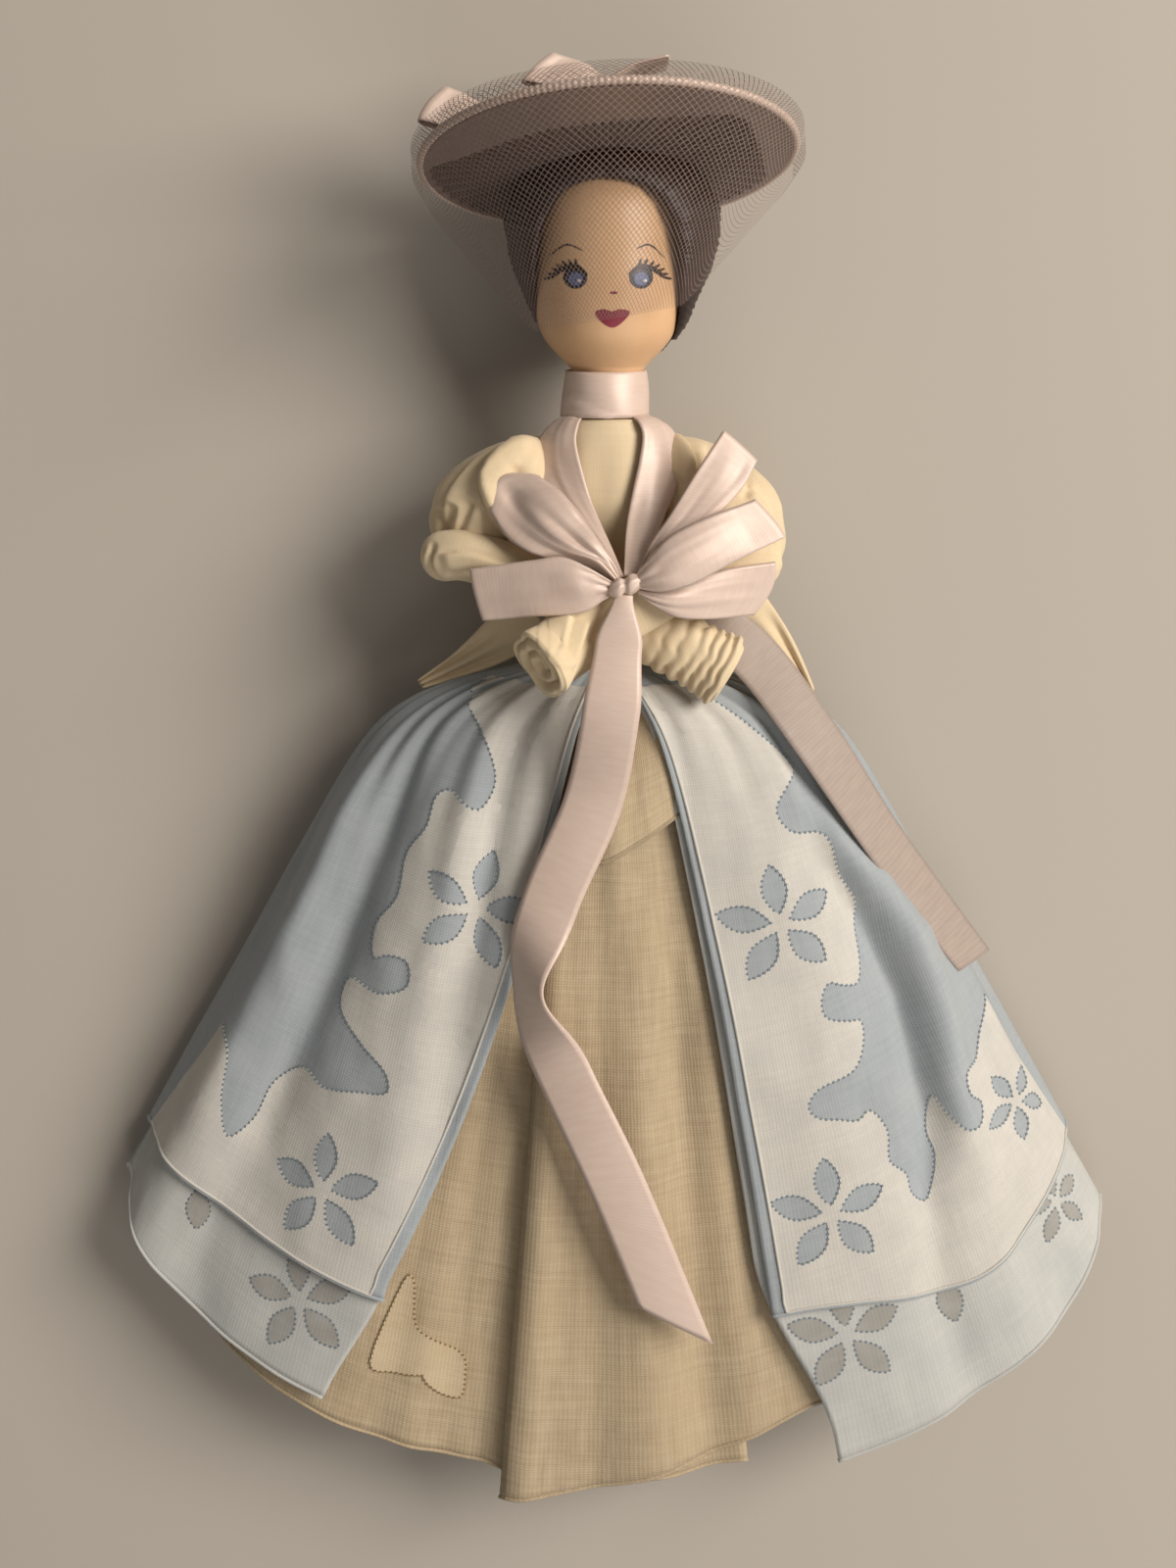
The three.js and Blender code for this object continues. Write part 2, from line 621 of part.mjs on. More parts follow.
// A loop of the bow: out from the knot, round a soft fold and back underneath.
function bowLoop({ out, tip, foldLine, level, arch, open }) {
  const knot = point(KNOT_X, KNOT_UP, KNOT_DEPTH + level);
  const end = point(...tip);
  const along = end.clone().sub(knot).normalize();
  const start = knot.clone().addScaledVector(along, out);
  const fold = point(...foldLine).normalize();
  const rise = point().crossVectors(fold, along).normalize();
  if (rise.z < 0) rise.negate();
  const square = point().crossVectors(rise, along).normalize();
  if (square.dot(fold) < 0) square.negate();
  const runs = 7;
  const station = (share, side) => {
    const half = side * lerp(RIBBON_THICKNESS + 0.5, open, smoothstep(share, 0, 0.7)) / 2;
    const bow = arch * 4 * share * (1 - share);
    const middle = start.clone().lerp(end, share).addScaledVector(rise, half + bow);
    const across = square.clone().lerp(fold, share).normalize();
    const width = lerp(RIBBON_GATHER, RIBBON_WIDTH, smoothstep(share, 0, 0.55));
    return { middle, across, width };
  };
  const bend = [60, 0, -60].map((angle) => {
    const middle = end.clone()
      .addScaledVector(along, Math.cos(degToRad(angle)) * open / 2)
      .addScaledVector(rise, Math.sin(degToRad(angle)) * open / 2);
    return { middle, across: fold, width: RIBBON_WIDTH };
  });
  const shares = Array.from({ length: runs + 1 }, (_, i) => i / runs);
  const outward = shares.map((share) => station(share, 1));
  const homeward = shares.map((share) => station(share, -1)).reverse();
  return ribbon([...outward, ...bend, ...homeward]);
}

const LOOPS = {
  bow_loop_left_lower: {
    out: 4.4, tip: [-23.5, 17, 19.5], foldLine: [-0.2, 1, 0], level: 0.9, arch: 1.5, open: 2.2,
  },
  bow_loop_left_upper: {
    out: 6.4, tip: [-17.5, 34, 15.4], foldLine: [-0.7, 0.75, 0], level: -0.9, arch: 2, open: 2.6,
  },
  bow_loop_right_middle: {
    out: 4.5, tip: [26.5, 31, 20.3], foldLine: [0.75, -0.7, 0], level: 1.6, arch: 3.4, open: 2.4,
  },
  bow_loop_right_tall: {
    out: 6.4, tip: [23, 43.5, 14.2], foldLine: [0.72, -0.7, 0], level: -1.4, arch: 0.4, open: 2,
  },
  bow_loop_right_lower: {
    out: 4.5, tip: [28.5, 18, 18.2], foldLine: [-0.25, 1, 0], level: -0.9, arch: 1, open: 2.2,
  },
};

function knotShape() {
  const count = 6;
  const rings = Array.from({ length: count + 1 }, (_, i) => {
    const share = lerp(-0.92, 0.92, i / count);
    const swell = Math.sqrt(1 - share * share);
    const middle = point(KNOT_X + share * KNOT_HALF_WIDTH, KNOT_UP, KNOT_DEPTH);
    const halfHeight = KNOT_HALF_HEIGHT * swell;
    return ellipseRing(middle, point(0, 1, 0), FRONT, halfHeight, KNOT_HALF_DEPTH * swell, 12);
  });
  return loft(rings);
}

// A lapel: ribbon laid on the chest from the side of the neck, lifting off it to reach the knot.
function lapelShape(route, grow = 0) {
  const path = new THREE.CatmullRomCurve3(route.map(([x, y, width]) => point(x, y, width)));
  const steps = 11;
  const stand = 2 * CLEARANCE + RIBBON_THICKNESS / 2;
  const underKnot = KNOT_DEPTH - KNOT_HALF_DEPTH - LAPEL_DROP;
  return sheet(Array.from({ length: steps + 1 }, (_, i) => {
    const share = i / steps;
    const stop = path.getPoint(share);
    const width = stop.z + 2 * grow;
    const lifted = smoothstep(share, 0.5, 1);
    return [-0.5, -0.3, -0.1, 0.1, 0.3, 0.5].map((across) => {
      const x = stop.x + across * width;
      return point(x, stop.y, lerp(chestDepth(x, stop.y) + stand, underKnot, lifted));
    });
  }), RIBBON_THICKNESS + 2 * grow);
}

const KNOT_TOP = KNOT_UP + KNOT_HALF_HEIGHT + 1;
const leftLapel = [
  [-6.6, 47.6, 4.4], [-8.8, 42.5, 7], [-5.4, 33, 7.6], [-1, 27.5, 5.6], [1.2, KNOT_TOP, 4],
];
const rightLapel = [
  [6.4, 47.6, 4.2], [8.4, 42.5, 6.2], [8.2, 33.5, 6.8], [6.6, 27.5, 5.2], [5.8, KNOT_TOP, 3.6],
];

function neckRibbon() {
  const inner = NECK_RADIUS + CLEARANCE;
  const outer = inner + RIBBON_THICKNESS;
  const foot = BODICE_FOOT + BODICE_LENGTH + CLEARANCE;
  const top = CHIN - CLEARANCE;
  const flared = outer + CLEARANCE;
  return turned([
    [inner, foot], [flared, foot], [outer, lerp(foot, top, 0.5)], [outer, top], [inner, top], [inner, foot],
  ], 28);
}

// The front tail hangs from the knot, crosses the cuffs and lies down the front of the skirt.
function frontTail() {
  const knotFoot = fromTorso(point(KNOT_X - 0.6, KNOT_UP - KNOT_HALF_HEIGHT - 1.2, KNOT_DEPTH + 0.4));
  const overCuffs = fromTorso(point(2, 7.5, OVER_ARM + SLEEVE_PRESSED + 3.2));
  const offCuffs = fromTorso(point(0.6, -5, OVER_ARM + SLEEVE_HALF_DEPTH + 4));
  const lain = (share, side, lift) => skirtPoint(
    share * UPPER_LENGTH, Math.asin(side), CLOTH + FOLD_DEPTH + lift,
  );
  const route = [
    { at: knotFoot, lean: 0, width: 6 },
    { at: overCuffs, lean: 0, width: 9.5 },
    { at: offCuffs, lean: 0, width: 11 },
    { at: lain(0.185, -0.05, 1.6), lean: 0, width: RIBBON_WIDTH },
    { at: lain(0.33, -0.165, 1), lean: 10, width: RIBBON_WIDTH },
    { at: lain(0.455, -0.205, 3.4), lean: 58, width: RIBBON_WIDTH },
    { at: lain(0.58, -0.1, 1.4), lean: 12, width: RIBBON_WIDTH },
    { at: lain(0.74, 0.02, 1), lean: 4, width: RIBBON_WIDTH },
    { at: lain(1, 0.14, 0.6), lean: 0, width: RIBBON_WIDTH },
  ];
  return ribbon(routeStations(route, 26));
}

// The side tail comes out behind the right cuff and lies down the flank of the skirt.
function sideTail() {
  const lain = (share, turn, lift) => skirtPoint(share * UPPER_LENGTH, degToRad(turn), CLOTH + lift);
  const root = fromTorso(point(21, 9.6, 9.8));
  const pastCuff = fromTorso(point(30, 1.5, 9));
  const route = [
    { at: root, lean: 0, width: 9 },
    { at: pastCuff, lean: -20, width: 10.5 },
    { at: lain(0.14, 54, 3), lean: -34, width: RIBBON_WIDTH },
    { at: lain(0.35, 62, 1.6), lean: -42, width: RIBBON_WIDTH },
    { at: lain(0.65, 77, 2), lean: -48, width: RIBBON_WIDTH },
  ];
  return ribbon(routeStations(route, 16));
}

// Hair, in the torso's frame

function hairShape() {
  const count = 12;
  const rings = Array.from({ length: count + 1 }, (_, i) => {
    const share = lerp(-0.95, 0.98, i / count);
    const swell = (1 - Math.abs(share) ** 2.6) ** (1 / 2.6);
    const middle = point(0.8, HEAD_WIDEST + share * HAIR_HALF_HEIGHT, -HAIR_SET_BACK);
    return ellipseRing(middle, point(1, 0, 0), FRONT, HAIR_HALF_WIDTH * swell, HAIR_HALF_DEPTH * swell, 22);
  });
  return loft(rings);
}

// The opening that the hair leaves for the face.
function faceOpening() {
  const low = CHIN - 6;
  const high = HEAD_WIDEST + HAIRLINE_ABOVE_WIDEST;
  const middle = (low + high) / 2;
  const rings = [-HAIR_SET_BACK, HAIR_HALF_DEPTH + HEAD_RADIUS].map((depth) => ellipseRing(
    point(0, middle, depth), point(1, 0, 0), point(0, 1, 0), FACE_HALF_WIDTH, (high - low) / 2, 24,
  ));
  return loft(rings);
}

function headHole() {
  return turned([[0, NECK_FOOT - 1], ...headProfile(CLEARANCE)], 28);
}

// Hat, in the hat's own frame: its axis is Y, with the brim's middle at the origin

const brimEdge = BRIM_RADIUS - 2 * RIM_CORD_RADIUS - CLEARANCE;

function brimShape(grow) {
  const half = BRIM_THICKNESS / 2 + grow;
  const rim = brimEdge + grow;
  return turned([
    [0, BRIM_CONE - half], [rim * 0.5, BRIM_CONE * 0.5 - half], [rim, -half], [rim, half],
    [rim * 0.5, BRIM_CONE * 0.5 + half], [0, BRIM_CONE + half],
  ], 36);
}

function crownShape() {
  const seat = BRIM_CONE + BRIM_THICKNESS / 2 + CLEARANCE;
  const outer = CROWN_RADIUS;
  const inner = outer - CROWN_WALL;
  const top = seat + CROWN_HEIGHT;
  const side = seat + CROWN_HEIGHT * 0.55;
  const shoulder = seat + CROWN_HEIGHT * 0.88;
  const body = turned([
    [inner, seat], [outer, seat], [outer * 0.97, side], [outer * 0.82, shoulder],
    [outer * 0.5, top], [0, top], [0, top - CROWN_WALL], [outer * 0.5 - CROWN_WALL * 0.4, top - CROWN_WALL],
    [outer * 0.82 - CROWN_WALL, shoulder - CROWN_WALL], [inner * 0.97, side], [inner, seat],
  ], 28);
  return body.translate(0, 0, -CROWN_SET_BACK);
}

function crownHole() {
  const reach = BRIM_CONE + CROWN_HEIGHT;
  const radius = CROWN_RADIUS - CROWN_WALL - CLEARANCE;
  const hole = turned([[0, -reach], [radius, -reach], [radius, reach], [0, reach]], 28);
  return hole.translate(0, 0, -CROWN_SET_BACK);
}

function rimCord() {
  const sides = 6;
  const radius = BRIM_RADIUS - RIM_CORD_RADIUS;
  const ring = Array.from({ length: sides + 1 }, (_, j) => {
    const roll = 2 * Math.PI * j / sides;
    return [radius + RIM_CORD_RADIUS * Math.cos(roll), RIM_CORD_RADIUS * Math.sin(roll)];
  });
  return turned(ring, 40);
}

// A loop of the hat's trimming, drawn in the plane across the hat and as wide as the ribbon.
function hatLoop(corners) {
  const path = new THREE.CatmullRomCurve3(corners.map(([x, h]) => point(x, h, -CROWN_SET_BACK)));
  return ribbon(path.getPoints(12).map((middle) => ({ middle, across: FRONT, width: RIBBON_WIDTH })));
}

const brimTop = BRIM_CONE + BRIM_THICKNESS / 2 + CLEARANCE + RIBBON_THICKNESS / 2;
const crownTop = brimTop + CROWN_HEIGHT + CLEARANCE;
const besideCrown = -CROWN_RADIUS - CLEARANCE - RIBBON_THICKNESS;
const HAT_LOOPS = {
  hat_loop_left: [
    [besideCrown, brimTop], [besideCrown - 7, brimTop + 2], [besideCrown - 14.5, brimTop + 8],
    [besideCrown - 12, brimTop + 11], [besideCrown - 5, brimTop + 8.5], [besideCrown, brimTop + 5],
  ],
  hat_loop_middle: [
    [-1, crownTop], [-9, crownTop + 0.3], [-14, crownTop + 3.4],
    [-11, crownTop + 5.6], [-5, crownTop + 4], [-1, crownTop + 1.6],
  ],
  hat_loop_right: [
    [1, crownTop], [6, crownTop + 0.3], [11.5, crownTop + 3.2],
    [9.5, crownTop + 5.4], [4.5, crownTop + 3.6], [1, crownTop + 1.6],
  ],
};

// Veil: a cap of tulle over the brim, and the fall in front of the face

const veilRadius = BRIM_RADIUS + CLEARANCE + TULLE;

function veilCap() {
  const inner = CROWN_RADIUS + CROWN_SET_BACK + 3;
  const lift = BRIM_CONE + BRIM_THICKNESS / 2 + CLEARANCE + TULLE / 2;
  const shares = [0, 0.5, 1];
  return sheet(shares.map((share) => Array.from({ length: 19 }, (_, j) => {
    const angle = degToRad(lerp(-VEIL_REACH, VEIL_REACH, j / 18));
    const reach = lerp(inner, veilRadius, share);
    return point(reach * Math.sin(angle), lift, reach * Math.cos(angle));
  })), TULLE);
}

function veilFall() {
  const top = BRIM_CONE + BRIM_THICKNESS / 2 - TULLE / 2;
  const drop = RIM_CORD_RADIUS + CLEARANCE + TULLE;
  const columns = 18;
  const rows = 7;
  return sheet(Array.from({ length: rows + 1 }, (_, i) => Array.from({ length: columns + 1 }, (_, j) => {
    const degrees = lerp(-VEIL_REACH, VEIL_REACH, j / columns);
    const angle = degToRad(degrees);
    const rim = point(veilRadius * Math.sin(angle), i === 0 ? top : -drop, veilRadius * Math.cos(angle));
    rim.applyMatrix4(hat.matrix);
    if (i === 0) return rim;
    const round = angle * 0.8;
    const depth = lerp(VEIL_SIDE_DEPTH, VEIL_STAND_OFF, Math.cos(round));
    const face = point(VEIL_HALF_WIDTH * Math.sin(round), VEIL_HEM, depth);
    const hem = face.lerp(rim, 0.84 * smoothstep(Math.abs(degrees), 0.5 * VEIL_REACH, VEIL_REACH));
    return rim.lerp(hem, (i - 1) / (rows - 1));
  })), TULLE);
}

// Assembly

place(torso, 'head', headBody(), COLOUR.wood, 0.45);
place(torso, 'body_dowel', dowelBody(), COLOUR.dowel, 0.6);

place(doll, 'overskirt_upper', overskirtUpper(), COLOUR.blue, 0.9);
place(doll, 'overskirt_lower', overskirtLower(), COLOUR.blue, 0.9);
place(doll, 'underskirt', underskirt(), COLOUR.linen, 0.9);
place(doll, 'underskirt_flap', underskirtFlap(), COLOUR.linen, 0.9);
place(doll, 'waist_thread', waistThread(), COLOUR.thread, 0.8);

place(torso, 'bodice', cut(bodiceShape(0), coreHole()), COLOUR.cream, 0.9);
const pressedOn = [inTorso(overskirtUpper(CLEARANCE)), inTorso(bindingHole())];
const armShapes = { left: leftArmRoute, right: rightArmRoute };
const grownArms = Object.values(armShapes).map((route) => forearmShape(route, CLEARANCE));
const lapels = { left: leftLapel, right: rightLapel };
for (const [name, side] of [['left', -1], ['right', 1]]) {
  const beside = [bodiceShape(CLEARANCE), lapelShape(lapels[name], CLEARANCE), ...grownArms];
  place(torso, `sleeve_puff_${name}`, cut(puffShape(side, 0), ...beside), COLOUR.cream, 0.9);
  const over = name === 'left' ? [grownArms[1]] : [];
  const arm = cut(forearmShape(armShapes[name], 0), bodiceShape(CLEARANCE), ...pressedOn, ...over);
  place(torso, `forearm_${name}`, arm, COLOUR.cream, 0.9);
}
for (const [name, side, tip] of [['left', -1, [38, -5.8, -1.5]], ['right', 1, [41, -8.2, 0.5]]]) {
  const corner = cut(peplumShape(side, tip), puffShape(side, CLEARANCE), pressedOn[0]);
  place(torso, `peplum_${name}`, corner, COLOUR.cream, 0.9);
}

place(torso, 'neck_ribbon', neckRibbon(), COLOUR.satin, 0.35);
place(torso, 'lapel_left', lapelShape(leftLapel), COLOUR.satin, 0.35);
place(torso, 'lapel_right', lapelShape(rightLapel), COLOUR.satin, 0.35);
place(torso, 'bow_knot', knotShape(), COLOUR.satin, 0.35);
for (const [name, loop] of Object.entries(LOOPS)) place(torso, name, bowLoop(loop), COLOUR.satin, 0.35);
place(doll, 'front_tail', frontTail(), COLOUR.satin, 0.35);
place(doll, 'side_tail', sideTail(), COLOUR.satin, 0.4);

const hairCutters = [headHole(), faceOpening(), fromHat(brimShape(CLEARANCE))];
place(torso, 'hair', cut(hairShape(), ...hairCutters), COLOUR.hair, 0.6);
place(hat, 'hat_brim', cut(brimShape(0), crownHole(), inHat(headHole())), COLOUR.hat, 0.4);
place(hat, 'hat_crown', crownShape(), COLOUR.hat, 0.4);
place(hat, 'hat_edge', rimCord(), COLOUR.satin, 0.3);
for (const [name, corners] of Object.entries(HAT_LOOPS)) {
  place(hat, name, hatLoop(corners), COLOUR.satin, 0.35);
}
place(hat, 'veil_cap', veilCap(), COLOUR.tulle, 0.9);
place(torso, 'veil_fall', veilFall(), COLOUR.tulle, 0.9);

export default doll;
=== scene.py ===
"""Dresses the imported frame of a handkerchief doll.

Skirts of lawn and linen, a cream bodice, a satin bow, a painted head, a hat and a veil.
"""

import math

import bmesh
import bpy
from mathutils import Matrix, Vector, noise


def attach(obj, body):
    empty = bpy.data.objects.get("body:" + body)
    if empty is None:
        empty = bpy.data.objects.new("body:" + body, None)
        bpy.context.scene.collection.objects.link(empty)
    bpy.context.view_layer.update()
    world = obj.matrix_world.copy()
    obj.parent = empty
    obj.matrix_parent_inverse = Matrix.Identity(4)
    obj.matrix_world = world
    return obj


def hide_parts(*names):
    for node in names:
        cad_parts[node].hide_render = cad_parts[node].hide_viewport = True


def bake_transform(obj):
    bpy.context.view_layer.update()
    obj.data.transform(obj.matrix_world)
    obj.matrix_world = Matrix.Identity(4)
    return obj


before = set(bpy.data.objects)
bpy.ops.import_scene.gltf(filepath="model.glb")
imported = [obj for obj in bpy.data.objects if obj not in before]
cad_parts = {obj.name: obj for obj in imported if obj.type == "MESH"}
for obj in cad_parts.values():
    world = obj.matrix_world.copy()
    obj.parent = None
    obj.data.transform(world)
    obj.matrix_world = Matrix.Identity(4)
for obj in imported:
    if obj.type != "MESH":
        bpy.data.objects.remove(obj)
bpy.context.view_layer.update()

bl_info = {
    "name": "Handkerchief Doll",
    "version": (1, 0, 0),
    "blender": (4, 5, 0),
    "location": "View3D > Sidebar > Doll",
    "description": "Dresses a doll folded from handkerchiefs",
    "category": "Add Mesh",
}

# All sizes below are in millimetres, as in the part's source, and meshes are in metres
MM = 0.001

# Wooden core
WAIST_Y = 103
WAIST_Z = 20
INCLINE = 4.3
NECK_RADIUS = 7.2
NECK_FOOT = 45
CHIN = 58
JAW_RADIUS = 12.8
CHEEK_RADIUS = 14.2
HEAD_RADIUS = 13.8
HEAD_WIDEST = 80
HEAD_TOP = 98.5

# Hair
HAIR_HALF_HEIGHT = 22
HAIR_HALF_DEPTH = 17
HAIR_SET_BACK = 2.5
FACE_HALF_WIDTH = 14.3
HAIRLINE_ABOVE_WIDEST = 13.5

# Hat and veil
HAT_TILT = 19
HAT_ROLL = 3.2
HAT_HEIGHT = 97.2
HAT_FORWARD = 7.8
BRIM_RADIUS = 35.9
BRIM_THICKNESS = 1.3
BRIM_CONE = 1.6
RIM_SHOWN_RADIUS = 0.75
RIM_STITCHES = 200
CROWN_RADIUS = 17
CROWN_HEIGHT = 10.5
CROWN_SET_BACK = 5
VEIL_REACH = 105
VEIL_HEM = 68
VEIL_HALF_WIDTH = 20
VEIL_SLANT = 0.17
VEIL_STAND_OFF = 17.5
VEIL_SIDE_DEPTH = 4
VEIL_RADIUS = BRIM_RADIUS + 1
SPUN_CHART_RADIUS = BRIM_RADIUS * 0.7

# Bodice and sleeves
BODICE_FOOT = 5.7
BODICE_LENGTH = 43
BODICE_HALF_WIDTH = 14
BODICE_HALF_DEPTH = 11.5
BODICE_WAIST_RADIUS = 7.6
BODICE_NECK = 8.8
PUFF_OUT = 24
PUFF_UP = 28
PUFF_HALF_WIDTH = 13
PUFF_HALF_LENGTH = 17
PUFF_HALF_DEPTH = 12
SLEEVE_HALF_WIDTH = 7
SLEEVE_HALF_DEPTH = 4.6
SLEEVE_PRESSED = 3.2

# Ribbon
RIBBON_WIDTH = 11.5
RIBBON_THICKNESS = 0.45

# Skirts
GATHER_RADIUS = 10.5
GATHER_HEIGHT = 5
POUF_WIDTH = 31
POUF_REACH = 7
SKIRT_FLARE = 0.411
SKIRT_SPREAD = math.radians(44)
SKIRT_RISE = 7
SKIRT_RISE_REACH = 10
SKIRT_SLOPE = 0.03
FLANK_HEIGHT = 6
FLANK_REACH = 35
BACK_REACH = 40
BED_HEIGHT = 0.4
FOLD_DEPTH = 1.3
FOLD_COUNT = 11
GATHER_DEPTH = 0.75
GATHER_REACH = 24
CRUMPLE_DEPTH = 0.8
UPPER_LENGTH = 141
LOWER_LENGTH = 174
UNDER_LENGTH = 172
FLAP_LENGTH = 38.5
LAYER_PITCH = 1.4
LOWER_OUT = -LAYER_PITCH
FLAP_OUT = -2 * LAYER_PITCH
UNDER_OUT = -3 * LAYER_PITCH
LAWN_THICKNESS = 0.35
HEM_RADIUS = 0.3
HEM_STOPS = 160
CHART_RADIUS = 70

# Sharper folds of the overskirt: falls and turns in degrees along each, half width in degrees,
# depth, and the falls between which it grows to that depth
SHARP_FOLDS = [
    ([(20, 40), (31, 44), (55, 54), (72, 58), (91, 57), (106, 54), (150, 50)], 6, 5, 12, 60),
    ([(45, 43), (63, 48), (82, 50), (98, 48), (112, 47), (131, 42), (150, 40)], 3.2, -2.6, 30, 80),
    ([(0, 68), (150, 74)], 7, 1.6, 30, 80),
    ([(0, -22), (150, -22)], 2.6, -1.3, 2, 14),
    ([(0, -28), (150, -28)], 3.5, 1.0, 4, 20),
    ([(0, -46), (150, -52)], 5, -2.2, 8, 40),
    ([(0, -60), (150, -65)], 6, 1.8, 10, 45),
]

# Frames: the torso lies along the inclined axis, and the hat sits tilted on the head
TORSO = Matrix.Translation((0, WAIST_Y, WAIST_Z)) @ Matrix.Rotation(math.radians(INCLINE), 4, "X")
FROM_TORSO = TORSO.inverted()
HAT = (
    TORSO
    @ Matrix.Translation((0, HAT_HEIGHT, HAT_FORWARD))
    @ Matrix.Rotation(math.radians(-HAT_TILT), 4, "X")
    @ Matrix.Rotation(math.radians(HAT_ROLL), 4, "Z")
)


def lerp(low, high, share):
    return low + (high - low) * share


def smoothstep(x, low, high):
    share = min(max((x - low) / (high - low), 0), 1)
    return share * share * (3 - 2 * share)


def through(stops, share):
    """The point at a share of the way along a smooth curve through a row of points."""
    spot = min(max(share, 0), 1) * (len(stops) - 1)
    k = min(int(spot), len(stops) - 2)
    t = spot - k
    b, c = Vector(stops[k]), Vector(stops[k + 1])
    a = Vector(stops[k - 1]) if k > 0 else 2 * b - c
    d = Vector(stops[k + 2]) if k + 2 < len(stops) else 2 * c - b
    near, mid, far = (max((q - p).length, 1e-6) ** 0.5 for p, q in ((a, b), (b, c), (c, d)))
    leave = ((b - a) / near - (c - a) / (near + mid) + (c - b) / mid) * mid
    arrive = ((c - b) / mid - (d - b) / (mid + far) + (d - c) / far) * mid
    rest = t * t * (b * (2 * t - 3) + c * (3 - 2 * t) + leave * (t - 2) + arrive * (t - 1))
    return b + leave * t + rest


def heading(stops, share):
    step = 0.004
    return (through(stops, min(share + step, 1)) - through(stops, max(share - step, 0))).normalized()


# Materials


def linear(hex_colour):
    """An sRGB hex colour as the linear colour that nodes use."""
    channels = [int(hex_colour[i : i + 2], 16) / 255 for i in (1, 3, 5)]
    return tuple(c / 12.92 if c <= 0.04045 else ((c + 0.055) / 1.055) ** 2.4 for c in channels) + (1,)


def add_node(tree, kind, inputs=None, **settings):
    """Adds one node with its settings, and gives each named input a value or a link from a socket."""
    made = tree.nodes.new(kind)
    for name, value in settings.items():
        setattr(made, name, value)
    for key, value in (inputs or {}).items():
        if isinstance(value, bpy.types.NodeSocket):
            tree.links.new(value, made.inputs[key])
        else:
            made.inputs[key].default_value = value
    return made


def start_material(name, **sockets):
    """An empty material with a Principled shader whose even values are set on its own sockets."""
    made = bpy.data.materials.new(name)
    made.use_nodes = True
    tree = made.node_tree
    tree.nodes.clear()
    values = {key.replace("_", " "): value for key, value in sockets.items()}
    shader = add_node(tree, "ShaderNodeBsdfPrincipled", values)
    add_node(tree, "ShaderNodeOutputMaterial", {"Surface": shader.outputs[0]})
    return made, tree, shader


def start_pattern(name, chart, sockets):
    """An empty material, and where its pattern lies: on the cloth's chart or in the object's own space."""
    made, tree, shader = start_material(name, **sockets)
    return made, tree, shader, add_node(tree, "ShaderNodeTexCoord").outputs["UV" if chart else "Object"]


def paint_with(tree, shader, colour, height, depth_mm):
    """Links a pattern's colour, and its height as a bump of a real depth, to the shader."""
    tree.links.new(colour, shader.inputs["Base Color"])
    bump = add_node(tree, "ShaderNodeBump", {"Height": height, "Distance": depth_mm * MM, "Strength": 1.0})
    tree.links.new(bump.outputs[0], shader.inputs["Normal"])


# Length of one band of the wave texture at a scale of 1
WAVE_LENGTH = 0.314
# How many times longer than wide a slub is, and a float of the satin with its stripe of painted sheen, with
# the float's length in mm
SLUB_LENGTHS = 10
SHEEN_FLOAT_LENGTHS = 5
SHEEN_FLOAT_MM = 5
# Depth of the lines between the satin's floats, in mm
FLOAT_DEPTH_MM = 0.006


def woven(name, colours, warp_mm, slub_mm, mottle_mm, mottle, depth_mm, **sockets):
    """A plain woven cloth: crossing threads, thick places along them and a cloudy unevenness."""
    made, tree, shader, place = start_pattern(name, True, sockets)
    dark, light, cloud = (linear(c) for c in colours)
    thread_scale, slub_scale = WAVE_LENGTH / (warp_mm * MM), 1 / (slub_mm * SLUB_LENGTHS * MM)
    threads = []
    slubs = []
    for axis, stretch in (("X", (SLUB_LENGTHS, 1, SLUB_LENGTHS)), ("Y", (1, SLUB_LENGTHS, SLUB_LENGTHS))):
        values = {"Vector": place, "Scale": thread_scale, "Distortion": 1.2, "Detail": 1.0}
        threads.append(add_node(tree, "ShaderNodeTexWave", values, bands_direction=axis).outputs["Fac"])
        run = add_node(tree, "ShaderNodeMapping", {"Vector": place, "Scale": stretch}).outputs[0]
        values = {"Vector": run, "Scale": slub_scale, "Detail": 2.0}
        slubs.append(add_node(tree, "ShaderNodeTexNoise", values).outputs["Fac"])
    over = add_node(tree, "ShaderNodeMath", dict(enumerate(threads)), operation="MULTIPLY").outputs[0]
    thick = add_node(tree, "ShaderNodeMath", dict(enumerate(slubs)), operation="ADD").outputs[0]
    values = {0: thick, 1: 0.5, 2: -0.08}
    tone = add_node(tree, "ShaderNodeMath", values, operation="MULTIPLY_ADD").outputs[0]
    values = {0: over, 1: 0.22, 2: tone}
    tone = add_node(tree, "ShaderNodeMath", values, operation="MULTIPLY_ADD").outputs[0]
    values = {"Factor": tone, "A": dark, "B": light}
    yarn = add_node(tree, "ShaderNodeMix", values, data_type="RGBA").outputs["Result"]
    values = {"Vector": place, "Scale": 1 / (mottle_mm * MM), "Detail": 3.0}
    spots = add_node(tree, "ShaderNodeTexNoise", values).outputs["Fac"]
    values = {"Value": spots, "From Min": 0.42, "From Max": 0.68, "To Max": mottle}
    share = add_node(tree, "ShaderNodeMapRange", values).outputs[0]
    values = {"Factor": share, "A": yarn, "B": cloud}
    colour = add_node(tree, "ShaderNodeMix", values, data_type="RGBA").outputs["Result"]
    height = add_node(tree, "ShaderNodeMath", {0: thick, 1: over}, operation="ADD").outputs[0]
    paint_with(tree, shader, colour, height, depth_mm)
    return made


